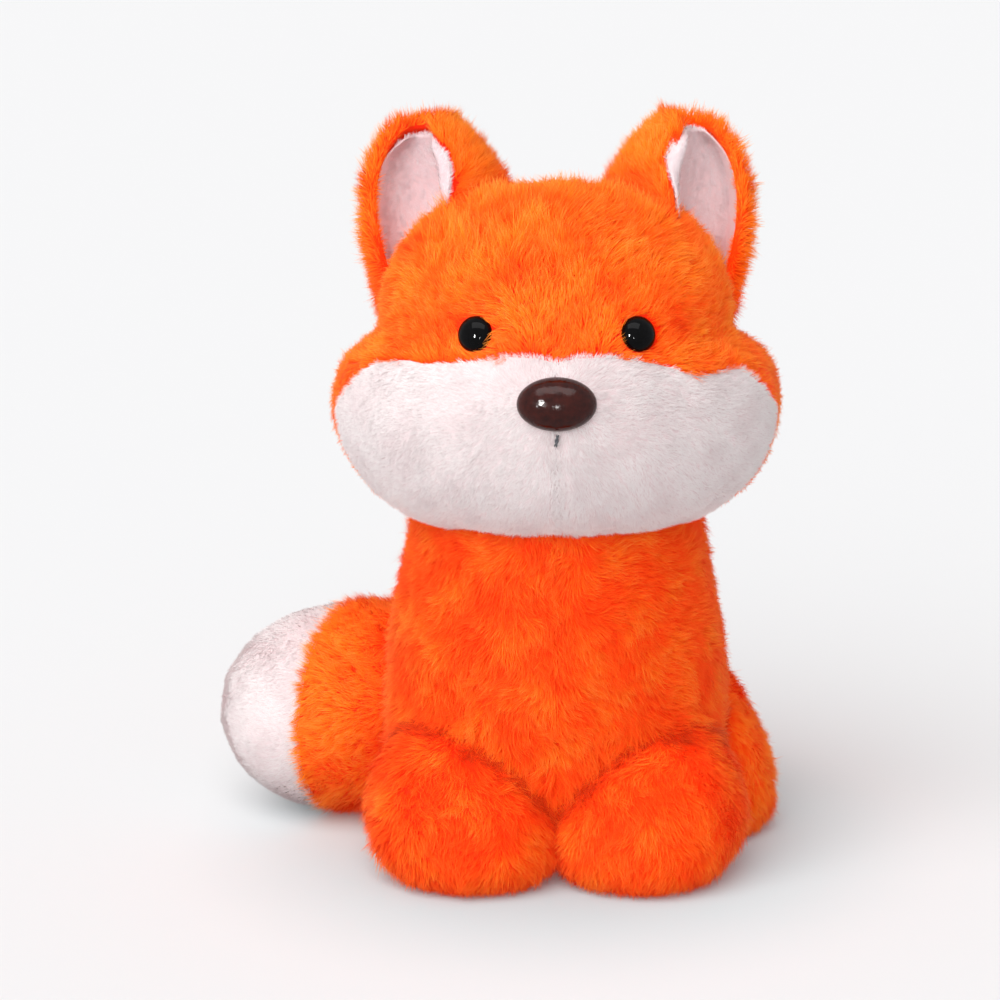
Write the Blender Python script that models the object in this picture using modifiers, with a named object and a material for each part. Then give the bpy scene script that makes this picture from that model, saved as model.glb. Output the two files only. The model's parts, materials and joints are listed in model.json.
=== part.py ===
# A sitting plush fox: sewn skins over stuffing, with plastic eyes and nose.
# Metres, +Z up. The fox faces -Y and stands on the floor plane at Z = 0.
# The origin is on the flat base, under the middle of the torso.

import math

import bmesh
import bpy
from mathutils import Matrix, Vector
from mathutils.bvhtree import BVHTree

# Clearances and fabric
GAP = 0.0003
FLOOR_CUT = 0.0005
PLUSH_THICKNESS = 0.004
LINING_THICKNESS = 0.0016
STUFFING_EASE = 0.0008
GUIDE_SIZE = 0.4

# Torso and neck
NECK_HEIGHT = 0.097
NECK_SETBACK = 0.004
SHOULDER_RADIUS = 0.0455
TORSO_HALF_WIDTH = 0.052
TORSO_FRONT = 0.044
TORSO_BACK = 0.052
SIDE_SEAM_Y = 0.006
BASE_PANEL_HEIGHT = 0.007
NECK_PLUG_RADIUS = 0.024
NECK_PLUG_DEPTH = 0.03
PELLET_BAG_RADIUS = 0.026
PELLET_BAG_HEIGHT = 0.02
PELLET_MOUTH_RADIUS = 0.0135
PELLET_BAG_SETBACK = 0.002
THREAD_RADIUS = 0.0004
CLOSING_STITCH_LENGTH = 0.024
CLOSING_STITCH_WIDTH = 0.003
CLOSING_STITCH_HEIGHT = 0.084

# Head
HEAD_BOTTOM = 0.106
HEAD_HEIGHT = 0.103
HEAD_HALF_WIDTH = 0.068
HEAD_DEPTH = 0.103
HEAD_SETBACK = -0.009
FACE_SEAM_HEIGHT = 0.1635
FACE_SEAM_SLOPE = math.radians(12)
CHEEK_SEAM_Y = -0.02

# Eyes, nose and mouth
EYE_RADIUS = 0.00525
EYE_DOME = 0.0036
EYE_SPACING = 0.0468
EYE_HEIGHT = 0.1695
NOSE_HALF_WIDTH = 0.0115
NOSE_HALF_HEIGHT = 0.0078
NOSE_DEPTH = 0.0065
NOSE_SETTING_HEIGHT = 0.1505
STEM_RADIUS = 0.0016
STEM_LENGTH = 0.0125
WASHER_RADIUS = 0.006
WASHER_THICKNESS = 0.0014
MOUTH_LENGTH = 0.004
MOUTH_DROP = 0.0075

# Ears
EAR_SPACING = 0.077
EAR_Y = -0.001
EAR_HINGE_Y = 0.003
EAR_RADIUS = 0.0165
EAR_HEIGHT = 0.028
EAR_ROOT = 0.026
EAR_TILT = math.radians(4)
EAR_SEAM_SLOPE = math.radians(42)
EAR_FOLD_LIMIT = math.radians(8)

# Legs
FRONT_LEG_RADIUS = 0.0305
FRONT_LEG_LENGTH = 0.06
FRONT_LEG_X = 0.0252
FRONT_LEG_Y = -0.0315
FRONT_LEG_SPLAY = math.radians(5)
FRONT_LEG_RAKE = math.radians(16)
HIND_LEG_RADIUS = 0.026
HIND_LEG_LENGTH = 0.066
HIND_LEG_X = 0.0465
HIND_LEG_TUCK = 0.008
HIND_LEG_Y = 0.012
HIND_LEG_SPLAY = math.radians(-8)
HIND_LEG_RAKE = math.radians(6)

# Tail
TAIL_LENGTH = 0.107
TAIL_RADIUS = 0.0335
TAIL_ROOT_RADIUS = 0.021
TAIL_ROOT_X = -0.008
TAIL_ROOT_INSET = 0.004
TAIL_LIFT = 0.0006
TAIL_TIP_LENGTH = 0.043
TAIL_SEAM_AIM = math.radians(160)
TAIL_AIM = math.radians(190)
TAIL_BEND = math.radians(14)

# Facets
BODY_SEGMENTS = 16
SHOULDER_ROWS = 4
LIMB_SEGMENTS = 10
SMALL_SEGMENTS = 10
DOME_STEPS = 4
STITCH_TEETH = 8
EAR_COLUMNS = 8

# Each row of the torso below the neck, from the underside up: height, roundness and swell.
TORSO_ROW_SHARES = (
    (0.0, 0.0, 1.0),
    (0.0, 0.4, 1.0),
    (0.003, 0.7, 1.0),
    (0.06, 0.84, 1.0),
    (0.2, 0.91, 1.0),
    (0.42, 0.98, 1.0),
    (0.72, 1.0, 0.76),
)

# Each ring of the head from the chin up: height, half width, reach to the front and to the back.
HEAD_ROW_SHARES = (
    (0.0, 0.0, 0.0, 0.0),
    (0.0, 0.7, 0.72, 0.64),
    (0.16, 0.97, 1.03, 0.94),
    (0.42, 1.05, 1.07, 1.03),
    (0.55, 0.83, 0.95, 1.02),
    (0.72, 0.79, 0.84, 0.95),
    (0.92, 0.56, 0.52, 0.62),
    (1.0, 0.0, 0.0, 0.0),
)

# Each ring of a leg from the sole up: height and radius.
FRONT_LEG_ROW_SHARES = (
    (0.0, 0.0),
    (0.0, 0.74),
    (0.17, 1.03),
    (0.5, 1.04),
    (0.88, 0.66),
    (1.0, 0.0),
)
HIND_LEG_ROW_SHARES = (
    (0.0, 0.0),
    (0.0, 0.8),
    (0.14, 1.05),
    (0.45, 1.03),
    (0.86, 0.6),
    (1.0, 0.0),
)

# Each row of an ear from its root up, round a cup: height above the head, radius, and the
# half turns from the back to its outer edge and, round the inner side, to its front edge.
EAR_ROW_SHARES = (
    (-1.0, 0.84, -0.72, 1.04),
    (-0.54, 0.95, -0.66, 1.02),
    (-0.08, 1.04, -0.6, 0.98),
    (0.33, 1.01, -0.56, 0.94),
    (0.64, 0.84, -0.52, 0.9),
    (0.84, 0.62, -0.47, 0.86),
    (1.0, 0.34, -0.38, 0.8),
)

# Each ring round the tail's root, in root radii: place along the tail and radius.
TAIL_ROOT_SHARES = (
    (-1.0, 0.0),
    (-0.7, 0.72),
    (0.0, 1.0),
)

# Each ring from there to the tip: place along the tail and radius.
TAIL_ROW_SHARES = (
    (0.22, 0.78),
    (0.48, 1.05),
    (0.76, 0.98),
    (0.93, 0.6),
    (1.0, 0.0),
)

RIGHT = Vector((1, 0, 0))
BACK = Vector((0, 1, 0))
UP = Vector((0, 0, 1))


# Scene helpers


def clearScene():
    for obj in list(bpy.data.objects):
        bpy.data.objects.remove(obj)


def makeCollection(name):
    collection = bpy.data.collections.new(name)
    bpy.context.scene.collection.children.link(collection)
    return collection


def makeMaterial(name, colour, roughness, metallic=0):
    material = bpy.data.materials.new(name)
    material.use_nodes = True
    shader = material.node_tree.nodes["Principled BSDF"]
    shader.inputs["Base Color"].default_value = (*colour, 1)
    shader.inputs["Roughness"].default_value = roughness
    shader.inputs["Metallic"].default_value = metallic
    material.diffuse_color = (*colour, 1)
    return material


def addPart(name, mesh, material, axis=None):
    """A visible sub-part, carried by the joint axis that it turns with."""
    obj = bpy.data.objects.new(name, mesh)
    partsCollection.objects.link(obj)
    mesh.materials.clear()
    mesh.materials.append(material)
    mesh.shade_smooth()
    mesh.set_sharp_from_angle(angle=math.radians(40))
    if axis is not None:
        carry(obj, axis)
    return obj


def addGuide(name, mesh, matrix=None):
    """A hidden cutter, never built as a part."""
    obj = bpy.data.objects.new(name, mesh)
    cutterCollection.objects.link(obj)
    obj.hide_render = True
    obj.display_type = "WIRE"
    if matrix is not None:
        obj.matrix_world = matrix
    return obj


def addAxis(name, point, axis=None):
    """An empty on a joint's axis."""
    empty = bpy.data.objects.new(name, None)
    empty.empty_display_size = THREAD_RADIUS
    empty.location = point
    partsCollection.objects.link(empty)
    if axis is not None:
        carry(empty, axis)
    return empty


def carry(obj, axis):
    """Parents obj to an axis and keeps its place in the world."""
    obj.parent = axis
    obj.matrix_parent_inverse = Matrix.Translation(-axis.location)


def meshFrom(name, build):
    """A new mesh that build fills through bmesh."""
    mesh = bpy.data.meshes.new(name)
    bm = bmesh.new()
    build(bm)
    bm.to_mesh(mesh)
    bm.free()
    return mesh


# Modifiers


def offset(obj, distance):
    """Moves the surface out, or in where distance is negative."""
    modifier = obj.modifiers.new("Offset", "DISPLACE")
    modifier.mid_level = 0
    modifier.strength = distance
    return obj


def thicken(obj, thickness, side=-1):
    """A wall of this thickness: side -1 is behind the surface and 1 is before it."""
    modifier = obj.modifiers.new("Wall", "SOLIDIFY")
    modifier.thickness = thickness
    modifier.offset = side
    return obj


def cut(obj, *cutters):
    for cutter in cutters:
        addBoolean(obj, cutter, "DIFFERENCE")
    return obj


def addBoolean(obj, other, operation):
    modifier = obj.modifiers.new(f"{operation.title()} {other.name}", "BOOLEAN")
    modifier.operation = operation
    modifier.solver = "MANIFOLD"
    modifier.object = other


def turn(obj, segments):
    """Turns a profile about the object's own Z axis."""
    modifier = obj.modifiers.new("Turn", "SCREW")
    modifier.steps = segments
    modifier.render_steps = segments
    modifier.use_merge_vertices = True
    modifier.merge_threshold = 0.00001
    return obj


# Shapes


def profileMesh(name, profile, closed=False):
    """An outline of (radius, height) points that runs down its outer side."""
    mesh = bpy.data.meshes.new(name)
    points = [(radius, 0, height) for radius, height in profile]
    edges = [(i, i + 1) for i in range(len(points) - 1)]
    if closed:
        edges.append((len(points) - 1, 0))
    mesh.from_pydata(points, edges, [])
    return mesh


def halfStep(segments):
    """Half a segment's turn, so that a guide's edges don't lie on those of what it cuts."""
    return Matrix.Rotation(math.pi / segments, 4, "Z")


def cylinderGuide(name, radius, low, high, matrix, segments=SMALL_SEGMENTS):
    profile = ((0, high), (radius, high), (radius, low), (0, low))
    guide = addGuide(name, profileMesh(name, profile), matrix @ halfStep(segments))
    return turn(guide, segments)


def ballMesh(name, radius, segments):
    rows = segments // 2
    return meshFrom(
        name,
        lambda bm: bmesh.ops.create_uvsphere(
            bm, u_segments=segments, v_segments=rows, radius=radius
        ),
    )


def halfSpace(name, point, outward):
    """A large block with one face through point, filling the side that outward points to."""
    outward = outward.normalized()
    mesh = meshFrom(name, lambda bm: bmesh.ops.create_cube(bm, size=GUIDE_SIZE))
    spin = outward.to_track_quat("Z", "Y").to_matrix().to_4x4()
    centre = point + outward * GUIDE_SIZE / 2
    return addGuide(name, mesh, Matrix.Translation(centre) @ spin)


def sphereRows(segments, rows, place):
    """A sphere primitive whose rows are moved: place(row, direction) gives each point."""

    def build(bm):
        bmesh.ops.create_uvsphere(bm, u_segments=segments, v_segments=rows, radius=1)
        for vert in bm.verts:
            row = round(rows * (1 - math.acos(max(-1, min(1, vert.co.z))) / math.pi))
            flat = Vector((vert.co.x, vert.co.y, 0))
            vert.co = place(row, flat.normalized())

    return build


def softened(mesh):
    """A coarse cage after Subdivision Surface, and the cage drawn in until it lies on that."""
    obj = bpy.data.objects.new("cage", mesh)
    cutterCollection.objects.link(obj)
    modifier = obj.modifiers.new("Soften", "SUBSURF")
    modifier.levels = 1
    modifier.render_levels = 1
    evaluated = obj.evaluated_get(bpy.context.evaluated_depsgraph_get())
    soft = bpy.data.meshes.new_from_object(evaluated)
    bpy.data.objects.remove(obj)
    core = mesh.copy()
    for vert, onSurface in zip(core.vertices, soft.vertices):
        vert.co = onSurface.co
    return split(soft), split(core)


def split(mesh):
    """The mesh in triangles, so that its copies at other offsets bend along the same lines."""

    def build(bm):
        bm.from_mesh(mesh)
        bmesh.ops.triangulate(bm, faces=bm.faces)

    return meshFrom(mesh.name, build)


def cageSwell(segments):
    """How much wider a cage's rings are than the softened form, which draws them in."""
    return 1 / (0.75 + 0.25 * math.cos(2 * math.pi / segments))


def surfaceOf(mesh):
    return BVHTree.FromPolygons([v.co for v in mesh.vertices], [p.vertices for p in mesh.polygons])


def facePoint(tree, x, height):
    """Where the front of a form is at this place, and its outward normal."""
    point, normal, _, _ = tree.ray_cast(Vector((x, -GUIDE_SIZE, height)), BACK)
    return point, normal


def lerp(a, b, share):
    return a + (b - a) * share


def roundedOut(radius, segments):
    """The radius of a faceted ring whose facets clear a true circle."""
    return radius / math.cos(math.pi / segments)


# Forms that several pieces share


def torsoMesh():
    """A pear on a flat base that ends above the neck centre in a true sphere."""
    lowRows = len(TORSO_ROW_SHARES)

    def place(row, direction):
        if row >= lowRows:
            angle = math.pi / 2 * (row - lowRows) / SHOULDER_ROWS
            level = direction * math.cos(angle) + UP * math.sin(angle)
            return neckCentre + level * SHOULDER_RADIUS
        heightShare, roundShare, swellShare = TORSO_ROW_SHARES[row]
        width = lerp(SHOULDER_RADIUS, TORSO_HALF_WIDTH, swellShare)
        front = lerp(SHOULDER_RADIUS, TORSO_FRONT + NECK_SETBACK, swellShare)
        back = lerp(SHOULDER_RADIUS, TORSO_BACK - NECK_SETBACK, swellShare)
        reach = front if direction.y < 0 else back
        x = direction.x * width * roundShare
        y = NECK_SETBACK + direction.y * reach * roundShare
        return Vector((x, y, lerp(-FLOOR_CUT, NECK_HEIGHT, heightShare)))

    return split(meshFrom("torso_form", sphereRows(BODY_SEGMENTS, lowRows + SHOULDER_ROWS, place)))


def headMesh():
    """Wide cheeks under a narrower crown."""

    def place(row, direction):
        heightShare, widthShare, frontShare, backShare = HEAD_ROW_SHARES[row]
        reachShare = frontShare if direction.y < 0 else backShare
        x = direction.x * HEAD_HALF_WIDTH * widthShare
        y = HEAD_SETBACK + direction.y * HEAD_DEPTH / 2 * reachShare
        return Vector((x, y, HEAD_HEIGHT * heightShare))

    rows = len(HEAD_ROW_SHARES) - 1
    soft, _ = softened(meshFrom("head_cage", sphereRows(BODY_SEGMENTS // 2, rows, place)))
    low = min(v.co.z for v in soft.vertices)
    high = max(v.co.z for v in soft.vertices)
    wide = max(v.co.x for v in soft.vertices)
    soft.transform(Matrix.Translation(-UP * low))
    soft.transform(Matrix.Diagonal((HEAD_HALF_WIDTH / wide, 1, HEAD_HEIGHT / (high - low), 1)))
    soft.transform(Matrix.Translation(UP * HEAD_BOTTOM))
    return soft


def legMesh(name, rowShares, radius, length, splay, rake, foot):
    """A leg that swells at the paw and tapers to the hip, on a flat sole, and its core."""

    def place(row, direction):
        heightShare, radiusShare = rowShares[row]
        height = length * heightShare
        lean = Vector((math.tan(splay) * height, math.tan(rake) * height, height))
        return foot + direction * radius * radiusShare * cageSwell(cageSegments) + lean

    cageSegments = LIMB_SEGMENTS // 2
    forms = softened(meshFrom(name, sphereRows(cageSegments, len(rowShares) - 1, place)))
    low = min(v.co.z for v in forms[0].vertices)
    for mesh in forms:
        mesh.transform(Matrix.Translation(-UP * (low + FLOOR_CUT)))
    return forms


def tailMesh():
    """A fat brush of a tail that bends forwards from a ball at its root, and its core."""
    rings = [
        (TAIL_ROOT_RADIUS * alongShare, TAIL_ROOT_RADIUS * radiusShare)
        for alongShare, radiusShare in TAIL_ROOT_SHARES
    ]
    rings += [
        (TAIL_LENGTH * alongShare, TAIL_RADIUS * radiusShare)
        for alongShare, radiusShare in TAIL_ROW_SHARES
    ]

    def place(row, direction):
        along, radius = rings[row]
        centre, ahead = tailPlace(along)
        beside = UP.cross(ahead)
        ring = beside * direction.x + UP * direction.y
        return centre + ring * radius * cageSwell(cageSegments)

    cageSegments = LIMB_SEGMENTS // 2
    return softened(meshFrom("tail_cage", sphereRows(cageSegments, len(rings) - 1, place)))


def tailPlace(along):
    """The middle of the tail this far from its root, and the way it points there."""
    bend = TAIL_BEND * along / TAIL_LENGTH
    middle = TAIL_AIM + bend / 2
    ahead = TAIL_AIM + bend
    chord = Vector((math.cos(middle), math.sin(middle), 0)) * along
    return tailRoot + chord, Vector((math.cos(ahead), math.sin(ahead), 0))


# Torso


def makeTorso():
    """Five sewn panels round one stuffing, open at the neck."""
    openingRadius = roundedOut(NECK_PLUG_RADIUS + GAP, BODY_SEGMENTS)
    atNeck = Matrix.Translation(neckCentre)
    beyond = SHOULDER_RADIUS * 2
    neckOpening = cylinderGuide("neck_opening", openingRadius, 0, beyond, atNeck, BODY_SEGMENTS)
    plugBottom = SHOULDER_RADIUS - NECK_PLUG_DEPTH - GAP
    neckPocket = cylinderGuide(
        "neck_pocket", openingRadius, plugBottom, beyond, atNeck, BODY_SEGMENTS
    )
    half = GAP / 2
    baseTop = UP * BASE_PANEL_HEIGHT
    seam = BACK * SIDE_SEAM_Y
    aboveBase = halfSpace("above_base", baseTop - UP * half, UP)
    belowPanels = halfSpace("below_panels", baseTop + UP * half, -UP)
    behindChest = halfSpace("behind_chest", seam - BACK * half, BACK)
    beforeBack = halfSpace("before_back", seam + BACK * half, -BACK)

    base = thicken(addPart("base_panel", torsoForm.copy(), orangePlush), PLUSH_THICKNESS)
    cut(base, floor, aboveBase)
    for side, across in (("left", rightSide), ("right", leftSide)):
        chest = addPart(f"chest_panel_{side}", torsoForm.copy(), orangePlush)
        cut(thicken(chest, PLUSH_THICKNESS), belowPanels, behindChest, across, neckOpening)
        rear = addPart(f"back_panel_{side}", torsoForm.copy(), orangePlush)
        cut(thicken(rear, PLUSH_THICKNESS), belowPanels, beforeBack, across, neckOpening, tailCup)

    bagBottom = PLUSH_THICKNESS - FLOOR_CUT + GAP
    bagCentre = Vector((0, PELLET_BAG_SETBACK, bagBottom + PELLET_BAG_HEIGHT / 2))
    flatten = Matrix.Diagonal((1, 1, PELLET_BAG_HEIGHT / 2 / PELLET_BAG_RADIUS, 1))
    bag = ballMesh("pellet_bag", PELLET_BAG_RADIUS, SMALL_SEGMENTS)
    bag.transform(Matrix.Translation(bagCentre) @ flatten)
    addPart("pellet_bag", bag, cotton)
    bagPocket = offset(addGuide("pellet_pocket", bag.copy()), GAP)
    bagMouth = cylinderGuide(
        "pellet_mouth", PELLET_MOUTH_RADIUS, -bagCentre.z, 0, Matrix.Translation(bagCentre)
    )
    stuffing = offset(addPart("torso_stuffing", torsoForm.copy(), fibre), -coreDepth)
    cut(stuffing, neckPocket, tailCup, bagPocket, bagMouth)


def makeNeck():
    """The wad of stuffing in the neck, with a rounded top that fits the head's hollow."""
    edge = math.asin(NECK_PLUG_RADIUS / SHOULDER_RADIUS)
    angles = [edge * i / DOME_STEPS for i in range(DOME_STEPS + 1)]
    profile = [(SHOULDER_RADIUS * math.sin(a), SHOULDER_RADIUS * math.cos(a)) for a in angles]
    bottom = SHOULDER_RADIUS - NECK_PLUG_DEPTH
    profile += [(NECK_PLUG_RADIUS, bottom), (0, bottom)]
    plug = addPart("neck_stuffing", profileMesh("neck_stuffing", profile), fibre)
    turn(plug, BODY_SEGMENTS)
    plug.location = neckCentre
    carry(plug, turnAxis)


def addThread(name, points, material, axis=None):
    """A stitch of round thread with closed ends."""
    curve = bpy.data.curves.new(name, "CURVE")
    curve.dimensions = "3D"
    curve.bevel_depth = THREAD_RADIUS
    curve.bevel_resolution = 1
    curve.use_fill_caps = True
    curve.materials.append(material)
    spline = curve.splines.new("POLY")
    spline.points.add(len(points) - 1)
    for target, point in zip(spline.points, points):
        target.co = (*point, 1)
    obj = bpy.data.objects.new(name, curve)
    partsCollection.objects.link(obj)
    if axis is not None:
        carry(obj, axis)


def makeClosingStitch():
    """A zigzag over the back seam, where the toy was closed after filling."""
    tree = surfaceOf(torsoForm)
    points = []
    for i in range(STITCH_TEETH + 1):
        height = CLOSING_STITCH_HEIGHT + CLOSING_STITCH_LENGTH * (i / STITCH_TEETH - 0.5)
        x = CLOSING_STITCH_WIDTH / 2 * (1 if i % 2 else -1)
        point, normal, _, _ = tree.ray_cast(Vector((x, GUIDE_SIZE, height)), -BACK)
        points.append(point + normal * (THREAD_RADIUS + GAP))
    addThread("closing_stitch", points, orangeThread)


# Head


def makeFitting(name, point, normal):
    """Where an eye or the nose goes through: its frame, stem hole, washer pocket and washer."""
    spin = normal.to_track_quat("Z", "Y").to_matrix().to_4x4()
    frameAt = Matrix.Translation(point) @ spin
    holeRadius = STEM_RADIUS + GAP
    hole = cylinderGuide(f"{name}_hole", holeRadius, -STEM_LENGTH - GAP, STEM_LENGTH, frameAt)
    top = -PLUSH_THICKNESS
    bottom = top - WASHER_THICKNESS - GAP
    pocketAt = frameAt @ halfStep(2 * SMALL_SEGMENTS)
    pocket = cylinderGuide(f"{name}_pocket", WASHER_RADIUS + GAP, bottom, top + GAP, pocketAt)
    profile = [
        (holeRadius, top),
        (WASHER_RADIUS, top),
        (WASHER_RADIUS, top - WASHER_THICKNESS),
        (holeRadius, top - WASHER_THICKNESS),
    ]
    ring = profileMesh(f"{name}_washer", profile, closed=True)
    washer = addPart(f"{name}_washer", ring, whitePlastic)
    turn(washer, SMALL_SEGMENTS).matrix_world = frameAt
    carry(washer, nodAxis)
    return frameAt, (hole, pocket)


def makeEye(side, sign):
    """A domed safety eye with its stem."""
    point, normal = facePoint(headTree, sign * EYE_SPACING / 2, EYE_HEIGHT)
    frameAt, cutters = makeFitting(f"eye_{side}", point, normal)
    angles = [math.pi / 2 * i / DOME_STEPS for i in range(DOME_STEPS + 1)]
    profile = [(EYE_RADIUS * math.sin(a), GAP + EYE_DOME * math.cos(a)) for a in angles]
    profile += [(STEM_RADIUS, GAP), (STEM_RADIUS, -STEM_LENGTH), (0, -STEM_LENGTH)]
    eye = addPart(f"eye_{side}", profileMesh(f"eye_{side}", profile), blackPlastic)
    turn(eye, SMALL_SEGMENTS).matrix_world = frameAt
    carry(eye, nodAxis)
    return cutters


def makeNose():
    """An oval dome with its stem."""
    point, normal = facePoint(headTree, 0, NOSE_SETTING_HEIGHT)
    # Two facets meet in the middle of the face, and the nose looks straight ahead.
    normal = Vector((0, normal.y, normal.z)).normalized()
    frameAt, cutters = makeFitting("nose", point, normal)
    seat = point + normal * GAP
    dome = ballMesh("nose", 1, LIMB_SEGMENTS)
    dome.transform(Matrix.Diagonal((NOSE_HALF_WIDTH, NOSE_HALF_HEIGHT, NOSE_DEPTH, 1)))
    dome.transform(frameAt)
    nose = addPart("nose", dome, brownPlastic, nodAxis)
    cut(nose, halfSpace("behind_nose", seat, -normal))
    stem = cylinderGuide("nose_stem", STEM_RADIUS, -STEM_LENGTH, NOSE_DEPTH / 2, frameAt)
    addBoolean(nose, stem, "UNION")
    return cutters


def makeMouth():
    """One short stitch under the nose."""
    points = []
    for share in (0, 0.5, 1):
        height = NOSE_SETTING_HEIGHT - MOUTH_DROP - MOUTH_LENGTH * share
        point, normal = facePoint(headTree, 0, height)
        points.append(point + normal * (THREAD_RADIUS + GAP))
    addThread("mouth_stitch", points, darkThread, nodAxis)


def makeHead():
    """Crown, two muzzle halves and a back panel over one stuffing, hollow under the neck."""
    half = GAP / 2
    seamUp = Vector((0, math.sin(FACE_SEAM_SLOPE), math.cos(FACE_SEAM_SLOPE)))
    faceSeam = Vector((0, HEAD_SETBACK - HEAD_DEPTH / 2, FACE_SEAM_HEIGHT))
    cheekSeam = BACK * CHEEK_SEAM_Y + UP * HEAD_BOTTOM
    aboveSeam = halfSpace("above_face_seam", faceSeam - seamUp * half, seamUp)
    belowSeam = halfSpace("below_face_seam", faceSeam + seamUp * half, -seamUp)
    behindFace = halfSpace("behind_face", cheekSeam - BACK * half, BACK)
    beforeRear = halfSpace("before_rear", cheekSeam + BACK * half, -BACK)
    hollowRadius = roundedOut(roundedOut(SHOULDER_RADIUS + GAP, BODY_SEGMENTS), BODY_SEGMENTS)
    hollow = ballMesh("head_hollow", hollowRadius, BODY_SEGMENTS)
    hollowAt = Matrix.Translation(neckCentre) @ halfStep(BODY_SEGMENTS)
    headHollow = addGuide("head_hollow", hollow, hollowAt)

    fittings = [*makeEye("left", -1), *makeEye("right", 1), *makeNose()]
    crown = thicken(addPart("head_crown", headForm.copy(), orangePlush, nodAxis), PLUSH_THICKNESS)
    cut(crown, belowSeam, behindFace, *fittings)
    for side, across in (("left", rightSide), ("right", leftSide)):
        muzzle = addPart(f"muzzle_{side}", headForm.copy(), whitePlush, nodAxis)
        thicken(muzzle, PLUSH_THICKNESS)
        cut(muzzle, aboveSeam, behindFace, across, headHollow, *fittings)
    rear = thicken(addPart("head_back", headForm.copy(), orangePlush, nodAxis), PLUSH_THICKNESS)
    cut(rear, beforeRear, headHollow)
    stuffing = offset(addPart("head_stuffing", headForm.copy(), fibre, nodAxis), -coreDepth)
    cut(stuffing, headHollow, *fittings)


# Ears


def earMesh():
    """A cupped flap as an open surface: X outwards, Y back and Z towards its tip."""
    rows = len(EAR_ROW_SHARES) - 1

    def place(across, row):
        heightShare, radiusShare, outerShare, frontShare = EAR_ROW_SHARES[row]
        angle = math.pi * lerp(frontShare, outerShare, across)
        ring = Vector((-math.sin(angle), math.cos(angle), 0)) * EAR_RADIUS * radiusShare
        return ring + UP * heightShare * (EAR_HEIGHT if heightShare > 0 else EAR_ROOT)

    def build(bm):
        bmesh.ops.create_grid(bm, x_segments=EAR_COLUMNS, y_segments=rows, size=1)
        for vert in bm.verts:
            vert.co = place((vert.co.x + 1) / 2, round((vert.co.y + 1) / 2 * rows))

    return meshFrom("ear_flap", build)


def withoutHem(mesh):
    """The flap less its outer cells, open at the seam as before."""

    def build(bm):
        bm.from_mesh(mesh)
        seam = min(v.co.z for v in bm.verts)
        rim = [e for e in bm.edges if e.is_boundary and max(v.co.z for v in e.verts) > seam + GAP]
        hem = {face for edge in rim for face in edge.link_faces}
        bmesh.ops.delete(bm, geom=list(hem), context="FACES")

    return meshFrom("ear_inner", build)


def makeEar(side, sign):
    """An outer flap and its lining, cut clear of the head over the whole of the fold."""
    out = Vector((sign * math.sin(EAR_TILT), 0, math.cos(EAR_TILT)))
    across = Vector((sign * math.cos(EAR_TILT), 0, -math.sin(EAR_TILT)))
    above = Vector((sign * EAR_SPACING / 2, EAR_Y, GUIDE_SIZE))
    foot, _, _, _ = headTree.ray_cast(above, -UP)
    frameAt = Matrix.Translation(foot) @ Matrix((across, BACK, out)).transposed().to_4x4()
    point = foot + BACK * (EAR_HINGE_Y - EAR_Y)
    foldAxis = addAxis(f"ear_{side}_axis", point, nodAxis)
    clear = []
    seam = Vector((sign * math.cos(EAR_SEAM_SLOPE), 0, -math.sin(EAR_SEAM_SLOPE)))
    for angle in (EAR_FOLD_LIMIT, -EAR_FOLD_LIMIT):
        swing = Matrix.Rotation(angle, 4, seam)
        about = Matrix.Translation(point) @ swing @ Matrix.Translation(-point)
        clear.append(offset(addGuide(f"ear_{side}_clear", headForm.copy(), about), GAP))
    swept, other = clear
    addBoolean(swept, other, "UNION")

    flap = earMesh()
    lining = split(withoutHem(flap))
    flap = split(flap)
    for mesh in (flap, lining):
        mesh.transform(frameAt)
        if sign < 0:
            mesh.flip_normals()
    shell = addPart(f"ear_{side}_shell", flap, orangePlush, foldAxis)
    cut(thicken(shell, PLUSH_THICKNESS), swept)
    inner = addPart(f"ear_{side}_lining", lining, whitePlush, foldAxis)
    cut(thicken(offset(inner, GAP), LINING_THICKNESS, 1), swept)


# Legs


def makeLeg(name, forms, cutters):
    """A sewn leg skin and its stuffing."""
    form, core = forms
    skin = addPart(f"{name}_skin", form.copy(), orangePlush)
    cut(thicken(skin, PLUSH_THICKNESS), floor, *cutters)
    stuffing = addPart(f"{name}_stuffing", core, fibre)
    cut(offset(stuffing, -coreDepth - STUFFING_EASE), *cutters)


def makeLegs():
    """Front legs cut by the torso, and hind legs cut by the torso and the front legs."""
    clear = {}
    for side, sign, across in (("left", -1, rightSide), ("right", 1, leftSide)):
        torsoClear = offset(addGuide(f"torso_clear_{side}", torsoForm.copy()), GAP)
        front = legMesh(
            f"front_leg_{side}",
            FRONT_LEG_ROW_SHARES,
            FRONT_LEG_RADIUS,
            FRONT_LEG_LENGTH,
            sign * FRONT_LEG_SPLAY,
            FRONT_LEG_RAKE,
            Vector((sign * FRONT_LEG_X, FRONT_LEG_Y, 0)),
        )
        makeLeg(f"front_leg_{side}", front, (torsoClear, across))
        frontClear = offset(addGuide(f"front_leg_{side}_clear", front[0].copy()), GAP)
        tuck = HIND_LEG_TUCK if side == "left" else 0
        hind = legMesh(
            f"hind_leg_{side}",
            HIND_LEG_ROW_SHARES,
            HIND_LEG_RADIUS,
            HIND_LEG_LENGTH,
            sign * HIND_LEG_SPLAY,
            HIND_LEG_RAKE,
            Vector((sign * (HIND_LEG_X - tuck), HIND_LEG_Y, 0)),
        )
        makeLeg(f"hind_leg_{side}", hind, (torsoClear, frontClear, tailCup))
        clear[side] = offset(addGuide(f"hind_leg_{side}_clear", hind[0].copy()), GAP)
    return clear["left"]


# Tail


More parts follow.
